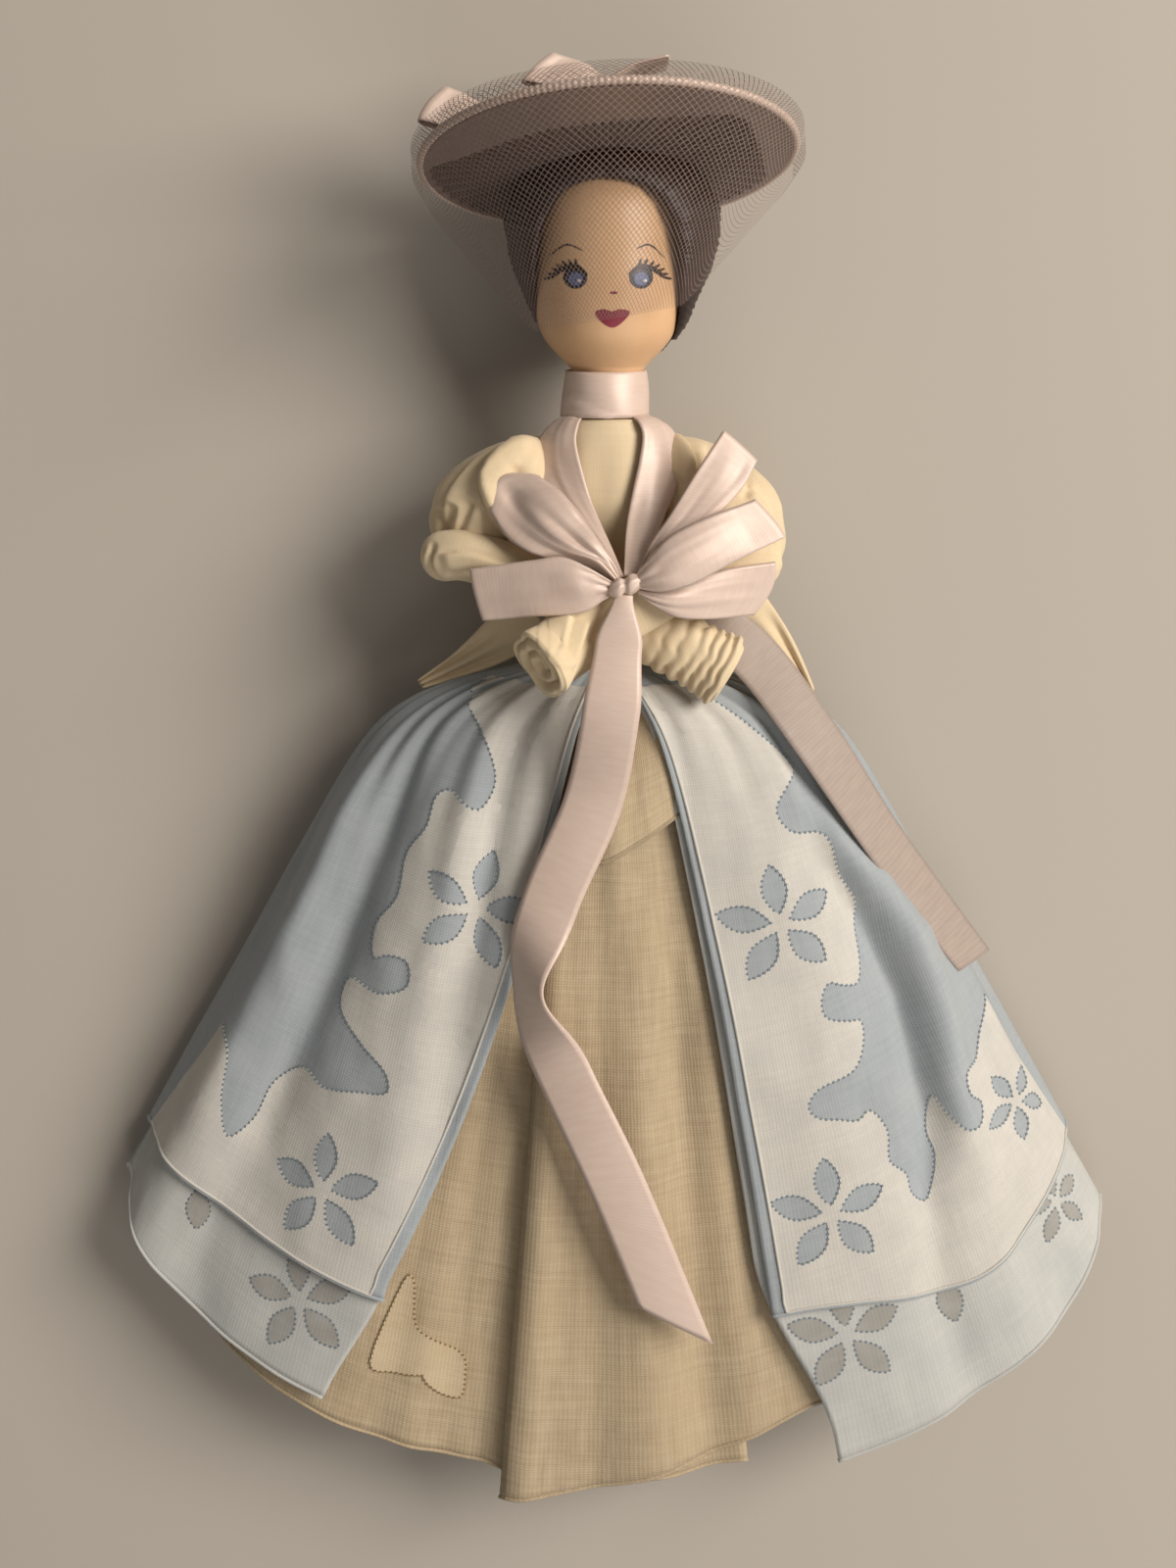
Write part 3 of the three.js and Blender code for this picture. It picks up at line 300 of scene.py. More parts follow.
def satin(name, colours, weft_mm, **sockets):
    """Satin: long floats that run across the ribbon, seen as fine lines, with soft stripes of sheen painted
    into its colour.
    """
    made, tree, shader, place = start_pattern(name, True, sockets)
    dark, light = (linear(c) for c in colours)
    values = {"Vector": place, "Scale": WAVE_LENGTH / (weft_mm * MM), "Distortion": 1.0, "Detail": 1.0}
    lines = add_node(tree, "ShaderNodeTexWave", values, bands_direction="Y").outputs["Fac"]
    # Soft stripes along the floats pale the colour: a painted sheen
    run = add_node(tree, "ShaderNodeMapping", {"Vector": place, "Scale": (1, SHEEN_FLOAT_LENGTHS, 1)}).outputs[0]
    values = {"Vector": run, "Scale": 1 / (SHEEN_FLOAT_MM * MM), "Detail": 2.0}
    floats = add_node(tree, "ShaderNodeTexNoise", values).outputs["Fac"]
    values = {0: lines, 1: 0.25, 2: floats}
    tone = add_node(tree, "ShaderNodeMath", values, operation="MULTIPLY_ADD").outputs[0]
    values = {"Value": tone, "From Min": 0.1, "From Max": 1.25}
    share = add_node(tree, "ShaderNodeMapRange", values).outputs[0]
    values = {"Factor": share, "A": dark, "B": light}
    colour = add_node(tree, "ShaderNodeMix", values, data_type="RGBA").outputs["Result"]
    paint_with(tree, shader, colour, lines, FLOAT_DEPTH_MM)
    return made


def speckled(name, colours, grain_mm, depth_mm=0.01, stretch=(1, 1, 1), chart=False, **sockets):
    """A finish whose colour and height wander in grains that may be drawn out along one axis."""
    made, tree, shader, place = start_pattern(name, chart, sockets)
    dark, light = (linear(c) for c in colours)
    run = add_node(tree, "ShaderNodeMapping", {"Vector": place, "Scale": stretch}).outputs[0]
    values = {"Vector": run, "Scale": 1 / (grain_mm * MM), "Detail": 4.0, "Roughness": 0.6}
    fleck = add_node(tree, "ShaderNodeTexNoise", values).outputs["Fac"]
    values = {"Factor": fleck, "A": dark, "B": light}
    colour = add_node(tree, "ShaderNodeMix", values, data_type="RGBA").outputs["Result"]
    paint_with(tree, shader, colour, fleck, depth_mm)
    return made


# Each finish, made once and kept by its name
FINISHES = {}


def finish(name):
    if name not in FINISHES:
        FINISHES[name] = MAKERS[name][1](bpy.context.scene.doll_colours)
    return FINISHES[name]


# Each finish with the slot of the record that it shows
MAKERS = {
    # Fine blue cotton lawn: matt, thin, with pale and blue threads that show as faint streaks.
    # The threads are about 0.25 mm apart, drawn at 0.6 mm so that they show
    "blue_lawn": ("blue_lawn", lambda c: woven(
        "blue cotton lawn", (c.blue_dark, c.blue_light, c.blue_cloud), 0.6, 1.1, 14, 0.35, 0.03,
        Roughness=0.85, Sheen_Weight=0.15,
    )),
    # The same lawn from its wrong side, where the white cloth behind it shows through
    "blue_lawn_reverse": ("blue_lawn", lambda c: woven(
        "blue lawn wrong side", (c.reverse_dark, c.reverse_light, c.blue_cloud), 0.6, 1.1, 18, 0.4, 0.03,
        Roughness=0.85, Sheen_Weight=0.15,
    )),
    # White lawn sewn over the blue: a little yellowed, cloudy where the blue shows through it
    "white_lawn": ("blue_lawn", lambda c: woven(
        "white cotton lawn", (c.white_dark, c.white_light, c.white_cloud), 0.6, 1.0, 9, 0.6, 0.03,
        Roughness=0.9, Sheen_Weight=0.2,
    )),
    # Petals of the lower tier, seen through the blue lawn from behind
    "shadow_lawn": ("blue_lawn", lambda c: woven(
        "lawn seen through", (c.shadow_dark, c.shadow_light, c.reverse_dark), 0.6, 1.0, 6, 0.4, 0.02,
        Roughness=0.9,
    )),
    # Linen with slubs: coarse threads about 0.5 mm apart with thick places both ways
    "slub_linen": ("slub_linen", lambda c: woven(
        "slub linen", (c.linen_dark, c.linen_light, c.linen_cloud), 0.55, 1.0, 20, 0.35, 0.06,
        Roughness=0.9, Sheen_Weight=0.1,
    )),
    # A second layer of the linen, sewn on: paler because the light no longer comes through
    "linen_patch": ("slub_linen", lambda c: woven(
        "linen applique", (c.linen_cloud, c.linen_light, c.linen_light), 0.5, 0.9, 8, 0.5, 0.05,
        Roughness=0.9,
    )),
    # Old cream lawn of the sleeves: soft and matt, with a weave that only just shows
    "cream_lawn": ("cream_lawn", lambda c: woven(
        "cream cotton lawn", (c.cream_dark, c.cream_light, c.cream_cloud), 0.45, 0.9, 12, 0.35, 0.012,
        Roughness=0.88, Sheen_Weight=0.15,
    )),
    # Double satin ribbon: smooth, with bright soft highlights across its curves
    "satin": ("satin_ribbon", lambda c: satin(
        "satin ribbon", (c.satin_dark, c.satin_light), 0.4,
        Roughness=0.44, Sheen_Weight=0.15, Specular_IOR_Level=0.5, Metallic=0.08,
    )),
    # A darker, matt and ribbed copy of the satin, for the side tail
    "darker_matt_ribbon": ("satin_ribbon", lambda c: satin(
        "darker matt satin", (c.back_dark, c.back_light), 0.8, Roughness=0.62, Sheen_Weight=0.2,
    )),
    # Brown satin of the hat, with the same floats as the ribbon
    "hat_satin": ("hat_satin", lambda c: satin(
        "hat satin", (c.hat_dark, c.hat_light), 0.6,
        Roughness=0.42, Sheen_Weight=0.3, Specular_IOR_Level=0.5,
    )),
    # The same satin pleated inside the brim, painted darker as the hat's own shade that falls there
    "hat_lining_painted_shade": ("hat_satin", lambda c: satin(
        "hat lining satin in painted shade", (c.lining_dark, c.lining_light), 0.6, Roughness=0.55, Sheen_Weight=0.2,
    )),
    # Turned wood painted flesh colour: even, with a low eggshell gloss
    "painted_wood": ("painted_wood", lambda c: speckled(
        "flesh paint on wood", (c.skin_dark, c.skin_light), 7, stretch=(1, 0.6, 1), Roughness=0.42,
    )),
    # Bare dowel of a pale hardwood with grain along it
    "bare_wood": (None, lambda c: speckled(
        "bare hardwood", ("#B88F5E", "#DDBB8B"), 1.2, 0.04, (1, 0.06, 1), Roughness=0.6,
    )),
    # Waxed binding thread: brown, with a twist that shows
    "binding_thread": (None, lambda c: speckled(
        "linen binding thread", ("#554636", "#86725B"), 0.5, 0.05, (1, 3, 1), Roughness=0.8,
    )),
    # Sewing thread of the pin stitches, pulled tight so that each stitch is a small dark hole
    "pin_thread": ("blue_lawn", lambda c: speckled(
        "pin stitch thread", (c.pin_dark, c.pin_light), 0.6, Roughness=0.9,
    )),
    # Cotton thread a little darker than the linen, in small stitches
    "linen_thread": ("slub_linen", lambda c: speckled(
        "embroidery cotton", ("#6F5936", "#937A52"), 0.5, 0.04, Roughness=0.8,
    )),
    # Dark wig hair: fine strands with a low gloss, some a little redder as a painted sheen, scattered at
    # random
    "wig_hair": ("wig_hair", lambda c: speckled(
        "dark wig hair", (c.hair_dark, c.hair_light), 0.7, 0.1, (1, 0.05, 1), True, Roughness=0.48,
    )),
    # Cotton net: thin matt threads
    "tulle": ("tulle_net", lambda c: speckled(
        "cotton tulle", (c.tulle_dark, c.tulle_light), 3, Roughness=0.8,
    )),
    # Brush paints of the face: even, with a low gloss
    "lip_paint": ("painted_wood", lambda c: speckled(
        "lip paint", (c.lip_dark, c.lip_light), 1.2, Roughness=0.4,
    )),
    "iris_paint": ("painted_wood", lambda c: speckled(
        "iris paint", (c.iris_dark, c.iris_light), 0.5, Roughness=0.35,
    )),
    "iris_rim": ("painted_wood", lambda c: speckled(
        "iris outline", ("#10131F", "#1E2438"), 0.7, Roughness=0.35,
    )),
    # White flecks on the irises: painted highlights standing for glints
    "painted_glint": ("painted_wood", lambda c: speckled(
        "painted glint white", ("#D9CDBD", "#EDE4D6"), 1.5, Roughness=0.35,
    )),
    "lash_paint": ("painted_wood", lambda c: speckled(
        "lash paint", ("#120A08", "#2A1712"), 0.9, Roughness=0.4,
    )),
}


# Pieces


def to_world(matrix, x, y, z):
    return matrix @ Vector((x, y, z))


def to_data(name, mesh):
    data = bpy.data.meshes.new(name)
    mesh.to_mesh(data)
    mesh.free()
    return data


def link_object(name, data):
    made = bpy.data.objects.new(name, data)
    bpy.context.scene.collection.objects.link(made)
    return made


def join_to(whole, part):
    """Moves all of one mesh into another."""
    data = to_data("part", part)
    whole.from_mesh(data)
    bpy.data.meshes.remove(data)


def every_part(mesh):
    return mesh.verts[:] + mesh.edges[:] + mesh.faces[:]


def cut_beyond(mesh, place, way):
    """Cuts a mesh along a plane and drops what lies beyond it."""
    bmesh.ops.bisect_plane(mesh, geom=every_part(mesh), plane_co=place, plane_no=way, clear_outer=True)


def weld(mesh, close=False, distance=1e-6):
    """Joins the points that meet at a seam, and may fill the open ends."""
    bmesh.ops.remove_doubles(mesh, verts=mesh.verts, dist=distance)
    if close:
        bmesh.ops.holes_fill(mesh, edges=mesh.edges, sides=0)


def face_outward(mesh):
    bmesh.ops.recalc_face_normals(mesh, faces=mesh.faces)


def draw_chart(mesh, spot):
    """Gives each corner of each face its place on the cloth's own chart, in metres."""
    chart = mesh.loops.layers.uv["cloth"]
    for face in mesh.faces:
        for loop in face.loops:
            loop[chart].uv = spot(loop)


def charted_mesh():
    mesh = bmesh.new()
    mesh.loops.layers.uv.new("cloth")
    return mesh


def make_piece(name, mesh, material, body, *nodes):
    """Makes a mesh an object that rides on a body and stands for CAD nodes."""
    data = to_data(name, mesh)
    data.shade_smooth()
    data.materials.append(finish(material))
    piece = link_object(name, data)
    if body:
        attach(piece, body)
    if nodes:
        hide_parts(*nodes)
    return piece


def thicken(piece, thickness):
    wall = piece.modifiers.new("cloth", "SOLIDIFY")
    wall.thickness = thickness * MM
    wall.offset = 0
    return piece


def surface_area(mesh):
    return sum(face.calc_area() for face in mesh.faces)


def laid_cloth(across, along, place, size, closed=False):
    """A grid with a chart at real size, whose corner (u, v) goes where place(u, v) says, in millimetres."""

    def spot(loop):
        u, v = loop.vert.co.x + 0.5, loop.vert.co.y + 0.5
        return u * size[0] * MM, v * size[1] * MM

    mesh = charted_mesh()
    bmesh.ops.create_grid(mesh, x_segments=across, y_segments=along, size=0.5)
    draw_chart(mesh, spot)
    for vert in mesh.verts:
        vert.co = MM * place(vert.co.x + 0.5, vert.co.y + 0.5)
    if closed:
        weld(mesh, close=True)
        face_outward(mesh)
    return mesh


def spun(profile, matrix, steps):
    """A turned piece: radius and height pairs spun about the frame's own Y axis."""

    def spot(loop):
        x, z = loop.vert.co.xz
        return math.hypot(x, z) * MM, math.atan2(x, z) * SPUN_CHART_RADIUS * MM

    mesh = charted_mesh()
    verts = [mesh.verts.new((r, h, 0)) for r, h in profile]
    edges = [mesh.edges.new(pair) for pair in zip(verts, verts[1:])]
    bmesh.ops.spin(
        mesh, geom=verts + edges, cent=(0, 0, 0), axis=(0, 1, 0), angle=2 * math.pi, steps=steps,
        use_merge=True,
    )
    weld(mesh, distance=1e-5)
    face_outward(mesh)
    draw_chart(mesh, spot)
    bmesh.ops.transform(mesh, matrix=Matrix.Scale(MM, 4) @ matrix, verts=mesh.verts)
    return mesh


def cut_to_grid(mesh, step):
    """Cuts a flat filled outline along a square grid, so that it can be laid on a curved surface."""
    for axis in (0, 1):
        spots = [vert.co[axis] for vert in mesh.verts]
        across = Vector((1 - axis, axis, 0))
        for i in range(math.ceil(min(spots) / step), math.floor(max(spots) / step) + 1):
            bmesh.ops.bisect_plane(mesh, geom=every_part(mesh), plane_co=across * i * step, plane_no=across)


def filled_outline(loops, step):
    """A flat mesh inside an outline, with the other loops left as holes."""
    mesh = charted_mesh()
    for loop in loops:
        ring = [mesh.verts.new((x, y, 0)) for x, y in loop]
        for pair in zip(ring, ring[1:] + ring[:1]):
            mesh.edges.new(pair)
    bmesh.ops.triangle_fill(mesh, use_beauty=True, edges=mesh.edges)
    cut_to_grid(mesh, step)
    draw_chart(mesh, lambda loop: loop.vert.co.xy * MM)
    return mesh


def smooth_loop(points, per_span):
    """A closed smooth outline through a few points."""
    count = len(points)
    ring = []
    for k in range(count):
        a, b, c, d = (Vector(points[(k + i) % count]) for i in (-1, 0, 1, 2))
        for j in range(per_span):
            t = j / per_span
            curve = (2 * a - 5 * b + 4 * c - d) * t**2 + (3 * b - a - 3 * c + d) * t**3
            ring.append(0.5 * (2 * b + (c - a) * t + curve))
    return ring


# Skirts


def skirt_base(fall, turn):
    """The unfolded skirt: how far down it lies from the waist, and the turn round it from the front."""
    down = max(fall, 0)
    side, front = math.sin(turn), math.cos(turn)
    opened = smoothstep(down, 0, 2 * POUF_REACH)
    half_width = GATHER_RADIUS + POUF_WIDTH * (1 - math.exp(-down / POUF_REACH)) + SKIRT_FLARE * down
    x = half_width * lerp(side, math.sin(SKIRT_SPREAD * side) / math.sin(SKIRT_SPREAD), opened)
    y = WAIST_Y - (fall * math.cos(SKIRT_SPREAD * side) if fall > 0 else fall)
    risen = SKIRT_RISE * (1 - math.exp(-down / SKIRT_RISE_REACH))
    crest = WAIST_Z + GATHER_RADIUS + risen - SKIRT_SLOPE * down
    flank = FLANK_HEIGHT + (WAIST_Z - FLANK_HEIGHT) * math.exp(-down / FLANK_REACH)
    laid = smoothstep(down, 0, BACK_REACH)
    bed = lerp(WAIST_Z - GATHER_RADIUS, BED_HEIGHT, laid)
    flat = lerp(-front, smoothstep(-front, 0, 0.45), laid)
    z = flank + (crest - flank) * front if front > 0 else flank - (flank - bed) * flat
    return Vector((x, y, z))


def along_line(line, spot):
    """A value read off a line of points, level beyond its two ends."""
    if spot <= line[0][0]:
        return line[0][1]
    for (a, low), (b, high) in zip(line, line[1:]):
        if spot <= b:
            return lerp(low, high, (spot - a) / (b - a))
    return line[-1][1]


def in_front(turn):
    """How much of the folds show at a turn: all of them in front, and none at the flat back."""
    return smoothstep(math.cos(turn), -0.1, 0.3)


def broad_folds(fall, turn):
    swing = 0.65 * math.cos(FOLD_COUNT * turn) + 0.35 * math.cos((FOLD_COUNT - 4) * turn + 1)
    return FOLD_DEPTH * smoothstep(fall, POUF_REACH, BACK_REACH) * swing


def gathers(fall, turn):
    """Small ridges under the waist, which die away down the skirt."""
    ridges = math.sin(33 * turn + 1.7 * math.sin(6 * turn))
    ridges += 0.5 * math.sin(54 * turn + 2 * math.sin(4 * turn))
    dying = math.exp(-max(fall, 0) / GATHER_REACH)
    return GATHER_DEPTH * smoothstep(fall, 0, POUF_REACH) * dying * ridges


def crumples(fall, turn):
    coarse = noise.noise(Vector((4.5 * turn, fall / 26, 3)))
    fine = noise.noise(Vector((11 * turn, fall / 11, 8)))
    return CRUMPLE_DEPTH * smoothstep(fall, 10, 60) * (coarse + 0.4 * fine)


def skirt_folds(fall, turn):
    """How far the folds and gathers lift the cloth off the unfolded skirt."""
    turn = math.atan2(math.sin(turn), math.cos(turn))
    lift = broad_folds(fall, turn) + gathers(fall, turn)
    degrees = math.degrees(turn)
    dying = 1 - 0.55 * smoothstep(fall, 105, 145)
    for line, half, depth, start, full in SHARP_FOLDS:
        away = (degrees - along_line(line, fall)) / half
        lift += depth * dying * smoothstep(fall, start, full) * math.exp(-away * away)
    return in_front(turn) * (lift + crumples(fall, turn))


def off_skirt(fall, turn, lift):
    """A place a given way out from the unfolded skirt."""
    step = 0.01
    down = skirt_base(fall + step, turn) - skirt_base(fall - step, turn)
    round_it = skirt_base(fall, turn + step) - skirt_base(fall, turn - step)
    return skirt_base(fall, turn) + down.cross(round_it).normalized() * lift


def skirt_point(fall, turn, out):
    """A place on the folded skirt, lying a given way out from the outer handkerchief."""
    return off_skirt(fall, turn, skirt_folds(fall, turn) + out)


def smooth_skirt(fall, turn, out):
    """The skirt's surface with only its broad folds, for ribbon that lies over the small ones."""
    return off_skirt(fall, turn, in_front(turn) * broad_folds(fall, turn) + out)


# Front edges of the blue tiers, as sines of the turn: the left one opens evenly down to a limit,
# and the right one is drawn in at the waist
LEFT_START = 0.1
LEFT_OPENS = 0.0024
LEFT_LIMIT = 0.43
RIGHT_SIDE = 0.325
RIGHT_DRAWN_IN = 0.16
RIGHT_REACH = 40
# The lower tier's edges stray from the upper ones near the hem, in turns
LOWER_RIGHT_TUCK = 0.02
LOWER_RIGHT_STRAY = 0.1
LOWER_LEFT_STRAY = 0.085
# The upper tier hangs lower at a point on its right flank, and the lower tier rises at both flanks
POINT_DROP = 12
POINT_SIDE = 0.74
POINT_HALF = 0.22
LOWER_SLANT = 5
LOWER_RISE = 14
UNDER_RISE = 30
# Where the petticoat's front edges lap, in turns from the front
LAP_OVER = -0.18
LAP_UNDER = 0.25


def left_edge(fall):
    return 2 * math.pi - math.asin(min(LEFT_START + LEFT_OPENS * fall, LEFT_LIMIT))


def right_edge(fall):
    return math.asin(RIGHT_SIDE - RIGHT_DRAWN_IN * math.exp(-max(fall, 0) / RIGHT_REACH))


def upper_hem(turn):
    away = (math.sin(turn) - POINT_SIDE) / POINT_HALF
    return UPPER_LENGTH + POINT_DROP * math.exp(-away * away) * smoothstep(math.cos(turn), -0.3, 0.3)


def lower_edge(fall):
    strayed = smoothstep(fall, UPPER_LENGTH * 0.9, LOWER_LENGTH)
    return right_edge(fall) - LOWER_RIGHT_TUCK + LOWER_RIGHT_STRAY * strayed


def lower_left_edge(fall):
    return left_edge(fall) - LOWER_LEFT_STRAY * smoothstep(fall, UPPER_LENGTH * 0.94, LOWER_LENGTH)


def lower_hem(turn):
    side = math.sin(turn)
    slant = LOWER_SLANT * (2 * smoothstep(side, -0.3, 0.3) - 1)
    return LOWER_LENGTH + slant - LOWER_RISE * side**10


def lap_over(fall):
    return LAP_OVER


def lap_under(fall):
    return 2 * math.pi + LAP_UNDER


def under_hem(turn):
    lapped = max(9 - 27 * (turn - LAP_OVER), -6)
    slant = lerp(lapped, 3, smoothstep(turn, math.pi, 2 * math.pi - 0.6))
    return UNDER_LENGTH + slant - UNDER_RISE * math.sin(turn) ** 6


# Folds of the petticoat's front: turn in degrees, half width in degrees and height
UNDER_FOLDS = [
    (-8.2, 2.2, 2.2), (-12.6, 2.2, -1.3), (-1, 2, -0.9), (5, 2.6, 1.4), (10.5, 1.9, -1.1),
    (15, 2.2, 1.0), (-16.5, 1.9, -0.9), (-21, 2.2, 0.9),
]


def under_out(turn, fall):
    tucked = smoothstep(turn, 2 * math.pi - 0.6, 2 * math.pi + 1.2 * LAP_OVER)
    degrees = math.degrees(math.atan2(math.sin(turn), math.cos(turn)))
    folds = 0
    for middle, half, height in UNDER_FOLDS:
        folds += height * math.exp(-(((degrees - middle) / half) ** 2))
    return UNDER_OUT - LAYER_PITCH * tucked + folds * smoothstep(fall, 30, 95)


SKIRT_COLUMNS = 300
SKIRT_ROWS = 120
# Share of a skirt's columns spent on each front half; the rest go round the flat back
FRONT_COLUMNS = 0.39


def wrapped_turn(u, start, end):
    """The turn at a share of the way round a skirt, from one front edge by way of the back to the other."""
    flank, far_flank = math.pi / 2, 1.5 * math.pi
    if u < FRONT_COLUMNS:
        return lerp(start, flank, u / FRONT_COLUMNS)
    if u > 1 - FRONT_COLUMNS:
        return lerp(far_flank, end, (u - 1 + FRONT_COLUMNS) / FRONT_COLUMNS)
    return lerp(flank, far_flank, (u - FRONT_COLUMNS) / (1 - 2 * FRONT_COLUMNS))


def flat_spot(turn, fall):
    """Where a place on the skirt lies on the flat drawing of the cloth."""
    return turn * CHART_RADIUS, fall


def skirt_cloth(start, end, hem, out):
    """A handkerchief wrapped round the doll, with its chart in the cloth's own turns and falls."""

    def spot(u, v):
        turn = wrapped_turn(u, start(UPPER_LENGTH), end(UPPER_LENGTH))
        fall = lerp(-GATHER_HEIGHT, hem(turn), v**1.3)
        return wrapped_turn(u, start(fall), end(fall)), fall

    def place(u, v):
        turn, fall = spot(u, v)
        return skirt_point(fall, turn, out(turn, fall))

    mesh = laid_cloth(SKIRT_COLUMNS, SKIRT_ROWS, place, (1, 1))
    chart = mesh.loops.layers.uv["cloth"]
    draw_chart(mesh, lambda loop: MM * Vector(flat_spot(*spot(*loop[chart].uv / MM))))
    return mesh


def roll_hem(mesh, stops):
    """Adds a narrow rolled hem to a cloth: a thin tube along a row of places, in millimetres."""

    def place(u, v):
        middle, along = through(stops, v), heading(stops, v)
        side = Vector((0, 0, 1)).cross(along).normalized()
        rise = along.cross(side)
        angle = 2 * math.pi * u
        return middle + HEM_RADIUS * (side * math.cos(angle) + rise * math.sin(angle))

    join_to(mesh, laid_cloth(8, 2 * len(stops), place, (3, 300), closed=True))


def level_at(height):
    """A layer that lies evenly at one height off the outer handkerchief."""
    return lambda turn, fall: height


def build_skirts():
    """The blue handkerchief in two tiers, and the linen one under it."""
    top, below = level_at(0), level_at(LOWER_OUT)
    pieces = [
        ("overskirt_upper", "blue_lawn", right_edge, left_edge, upper_hem, top),
        ("overskirt_lower", "blue_lawn_reverse", lower_edge, lower_left_edge, lower_hem, below),
        ("underskirt", "slub_linen", lap_over, lap_under, under_hem, under_out),
    ]
    for name, material, start, end, hem, out in pieces:
        mesh = skirt_cloth(start, end, hem, out)
        area = surface_area(mesh)
        first, last = start(hem(0)), end(hem(0))
        turns = [wrapped_turn(i / HEM_STOPS, first, last) for i in range(HEM_STOPS + 1)]
        roll_hem(mesh, [skirt_point(hem(turn), turn, out(turn, hem(turn))) for turn in turns])
        piece = thicken(make_piece(name + "_cloth", mesh, material, "doll", name), LAWN_THICKNESS)
        length = (hem(math.pi) + GATHER_HEIGHT) * MM


def flap_spot(u, v):
    side = lerp(-0.1, 0.25, u)
    length = FLAP_LENGTH * (1 - 0.83 * abs(side + 0.02))
    return math.asin(side), lerp(0.06, 1, v) * length


def build_flap():
    """The corner of the petticoat's upper fold that shows under the bow."""

    def place(u, v):
        turn, fall = flap_spot(u, v)
        lifted = lerp(FLAP_OUT, 0.6, smoothstep(v, 0.1, 0.9))
        wave = 0.5 * math.sin(5 * u) * v
        return skirt_point(fall, turn, lerp(lifted, -1, smoothstep(u, 0.65, 1)) + wave)

    mesh = laid_cloth(40, 40, place, (26, FLAP_LENGTH))
    area = surface_area(mesh)
    roll_hem(mesh, [place(0, i / 10) for i in range(3, 11)] + [place(i / 14, 1) for i in range(1, 15)])
    flap = make_piece("underskirt_flap_cloth", mesh, "slub_linen", "doll", "underskirt_flap")
    thicken(flap, LAWN_THICKNESS)


# Applique: white lawn on the front of the overskirt, in degrees of turn and millimetres of fall

LEFT_SCALLOPS = [
    (-64, 4), (-46, 9), (-29, 16), (-24, 24), (-26, 30), (-34, 27), (-37, 29), (-37, 36), (-40, 43),
    (-39, 53), (-42, 61), (-40, 68), (-37, 66), (-33, 66), (-32, 71), (-37, 75), (-44, 75), (-44, 82),
    (-38, 87), (-32, 91), (-31, 95), (-36, 98), (-42, 101), (-47, 100), (-52, 107), (-53, 118),
    (-56, 125), (-60, 117), (-63, 106), (-70, 103),
]
RIGHT_SCALLOPS = [
    (34, 4), (38, 13), (44, 24), (40, 27), (35, 32), (37, 37), (45, 40), (46, 50), (48, 58), (46, 63),
    (44, 71), (42, 75), (39, 74), (36, 72), (34, 75), (34, 79), (38, 82), (40, 83), (40, 86), (38, 91),
    (36, 93), (30, 94), (28, 97), (29, 100), (32, 102), (35, 104), (37, 103), (39, 109), (38, 116),
    (40, 121), (40, 126), (42, 130), (44, 127), (46, 121), (46, 116), (47, 112), (49, 108), (50, 113),
    (52, 119), (55, 120), (57, 116), (55, 112), (56, 107), (61, 107), (66, 102), (73, 97),
]
# Flowers: turn and fall of the middle, turn of the first petal from the way down, size,
# and how many petals show
LEFT_FLOWERS = [(-23, 51, 172, 1, 5), (-37, 123, 190, 1, 5)]
RIGHT_FLOWERS = [(30, 56, 178, 1, 5), (28, 122, 176, 1, 5), (67, 124, 57, 0.66, 5)]
LOWER_FLOWERS = [
    (-36, 150, 198, 1, 5), (27, 151, 178, 1, 5), (66, 153, 175, 0.68, 5), (41, 147, 0, 1, 1),
    (-58, 139, 15, 0.9, 1),
]
PETALS = 5
PETAL_INNER = 2.2
# Half widths along a petal, as shares of its length and of half its width
PETAL_SHAPE = [(0, 0.08), (0.2, 0.62), (0.45, 1), (0.7, 0.86), (0.9, 0.42), (1, 0.06)]
# How far the white patches stop short of the blue cloth's hem and of its front edges, where they
# start on the flank in degrees, and the steps along each edge and each span between scallops
HEM_INSET = 0.5
FRONT_INSET = 2.1
PATCH_FLANK = 84
EDGE_STEPS = 24
SPAN_STEPS = 4
# Sizes of the triangles that patches are cut into, and heights of patches off the cloth under them
PATCH_GRID = 2.2
CORNER_GRID = 1.4
PATCH_LIFT = 0.16
PETAL_LIFT = 0.08
CORNER_LIFT = 0.35
TURNED_EDGE = 0.4
STITCH_LIFT = 0.04
STITCH_RADIUS = 0.3


def petal_outlines(flower, length, width):
    """The outlines of a flower's pointed petals, on the flat drawing, at their true size on the skirt."""
    turn, fall = math.radians(flower[0]), flower[1]
    step = 0.02
    here = skirt_base(fall, turn)
    round_it = (skirt_base(fall, turn + step) - here) / step
    down = skirt_base(fall + 1, turn) - here
    skew = round_it.dot(down) / down.length_squared
    across = (round_it - down * skew).normalized()
    reach = round_it.dot(across)
    loops = []
    length, width, inner = (size * flower[3] for size in (length, width, PETAL_INNER))
    for k in range(flower[4]):
        angle = math.radians(flower[2] + k * 360 / PETALS)
        out = Vector((math.sin(angle), math.cos(angle)))
        wide = Vector((out.y, -out.x))
        ring = []
        for share, half in PETAL_SHAPE:
            ring.append(out * (inner + share * length) + wide * (half * width / 2))
        ring += [2 * out.dot(p) * out - p for p in reversed(ring)]
        spots = []
        for p in smooth_loop(ring, 3):
            d_turn = p.x / reach
            d_fall = p.y / down.length - skew * d_turn
            spots.append(flat_spot(turn + d_turn, fall + d_fall))
        loops.append(spots)
    return loops


def front_of(side, fall):
    return right_edge(fall) if side > 0 else left_edge(fall) - 2 * math.pi


def smooth_points(points):
    """A smooth open line through a row of points."""
    count = SPAN_STEPS * (len(points) - 1)
    stops = [Vector((*flat_spot(*p), 0)) for p in points]
    spots = [through(stops, i / count) for i in range(count + 1)]
    return [(spot.x / CHART_RADIUS, spot.y) for spot in spots]


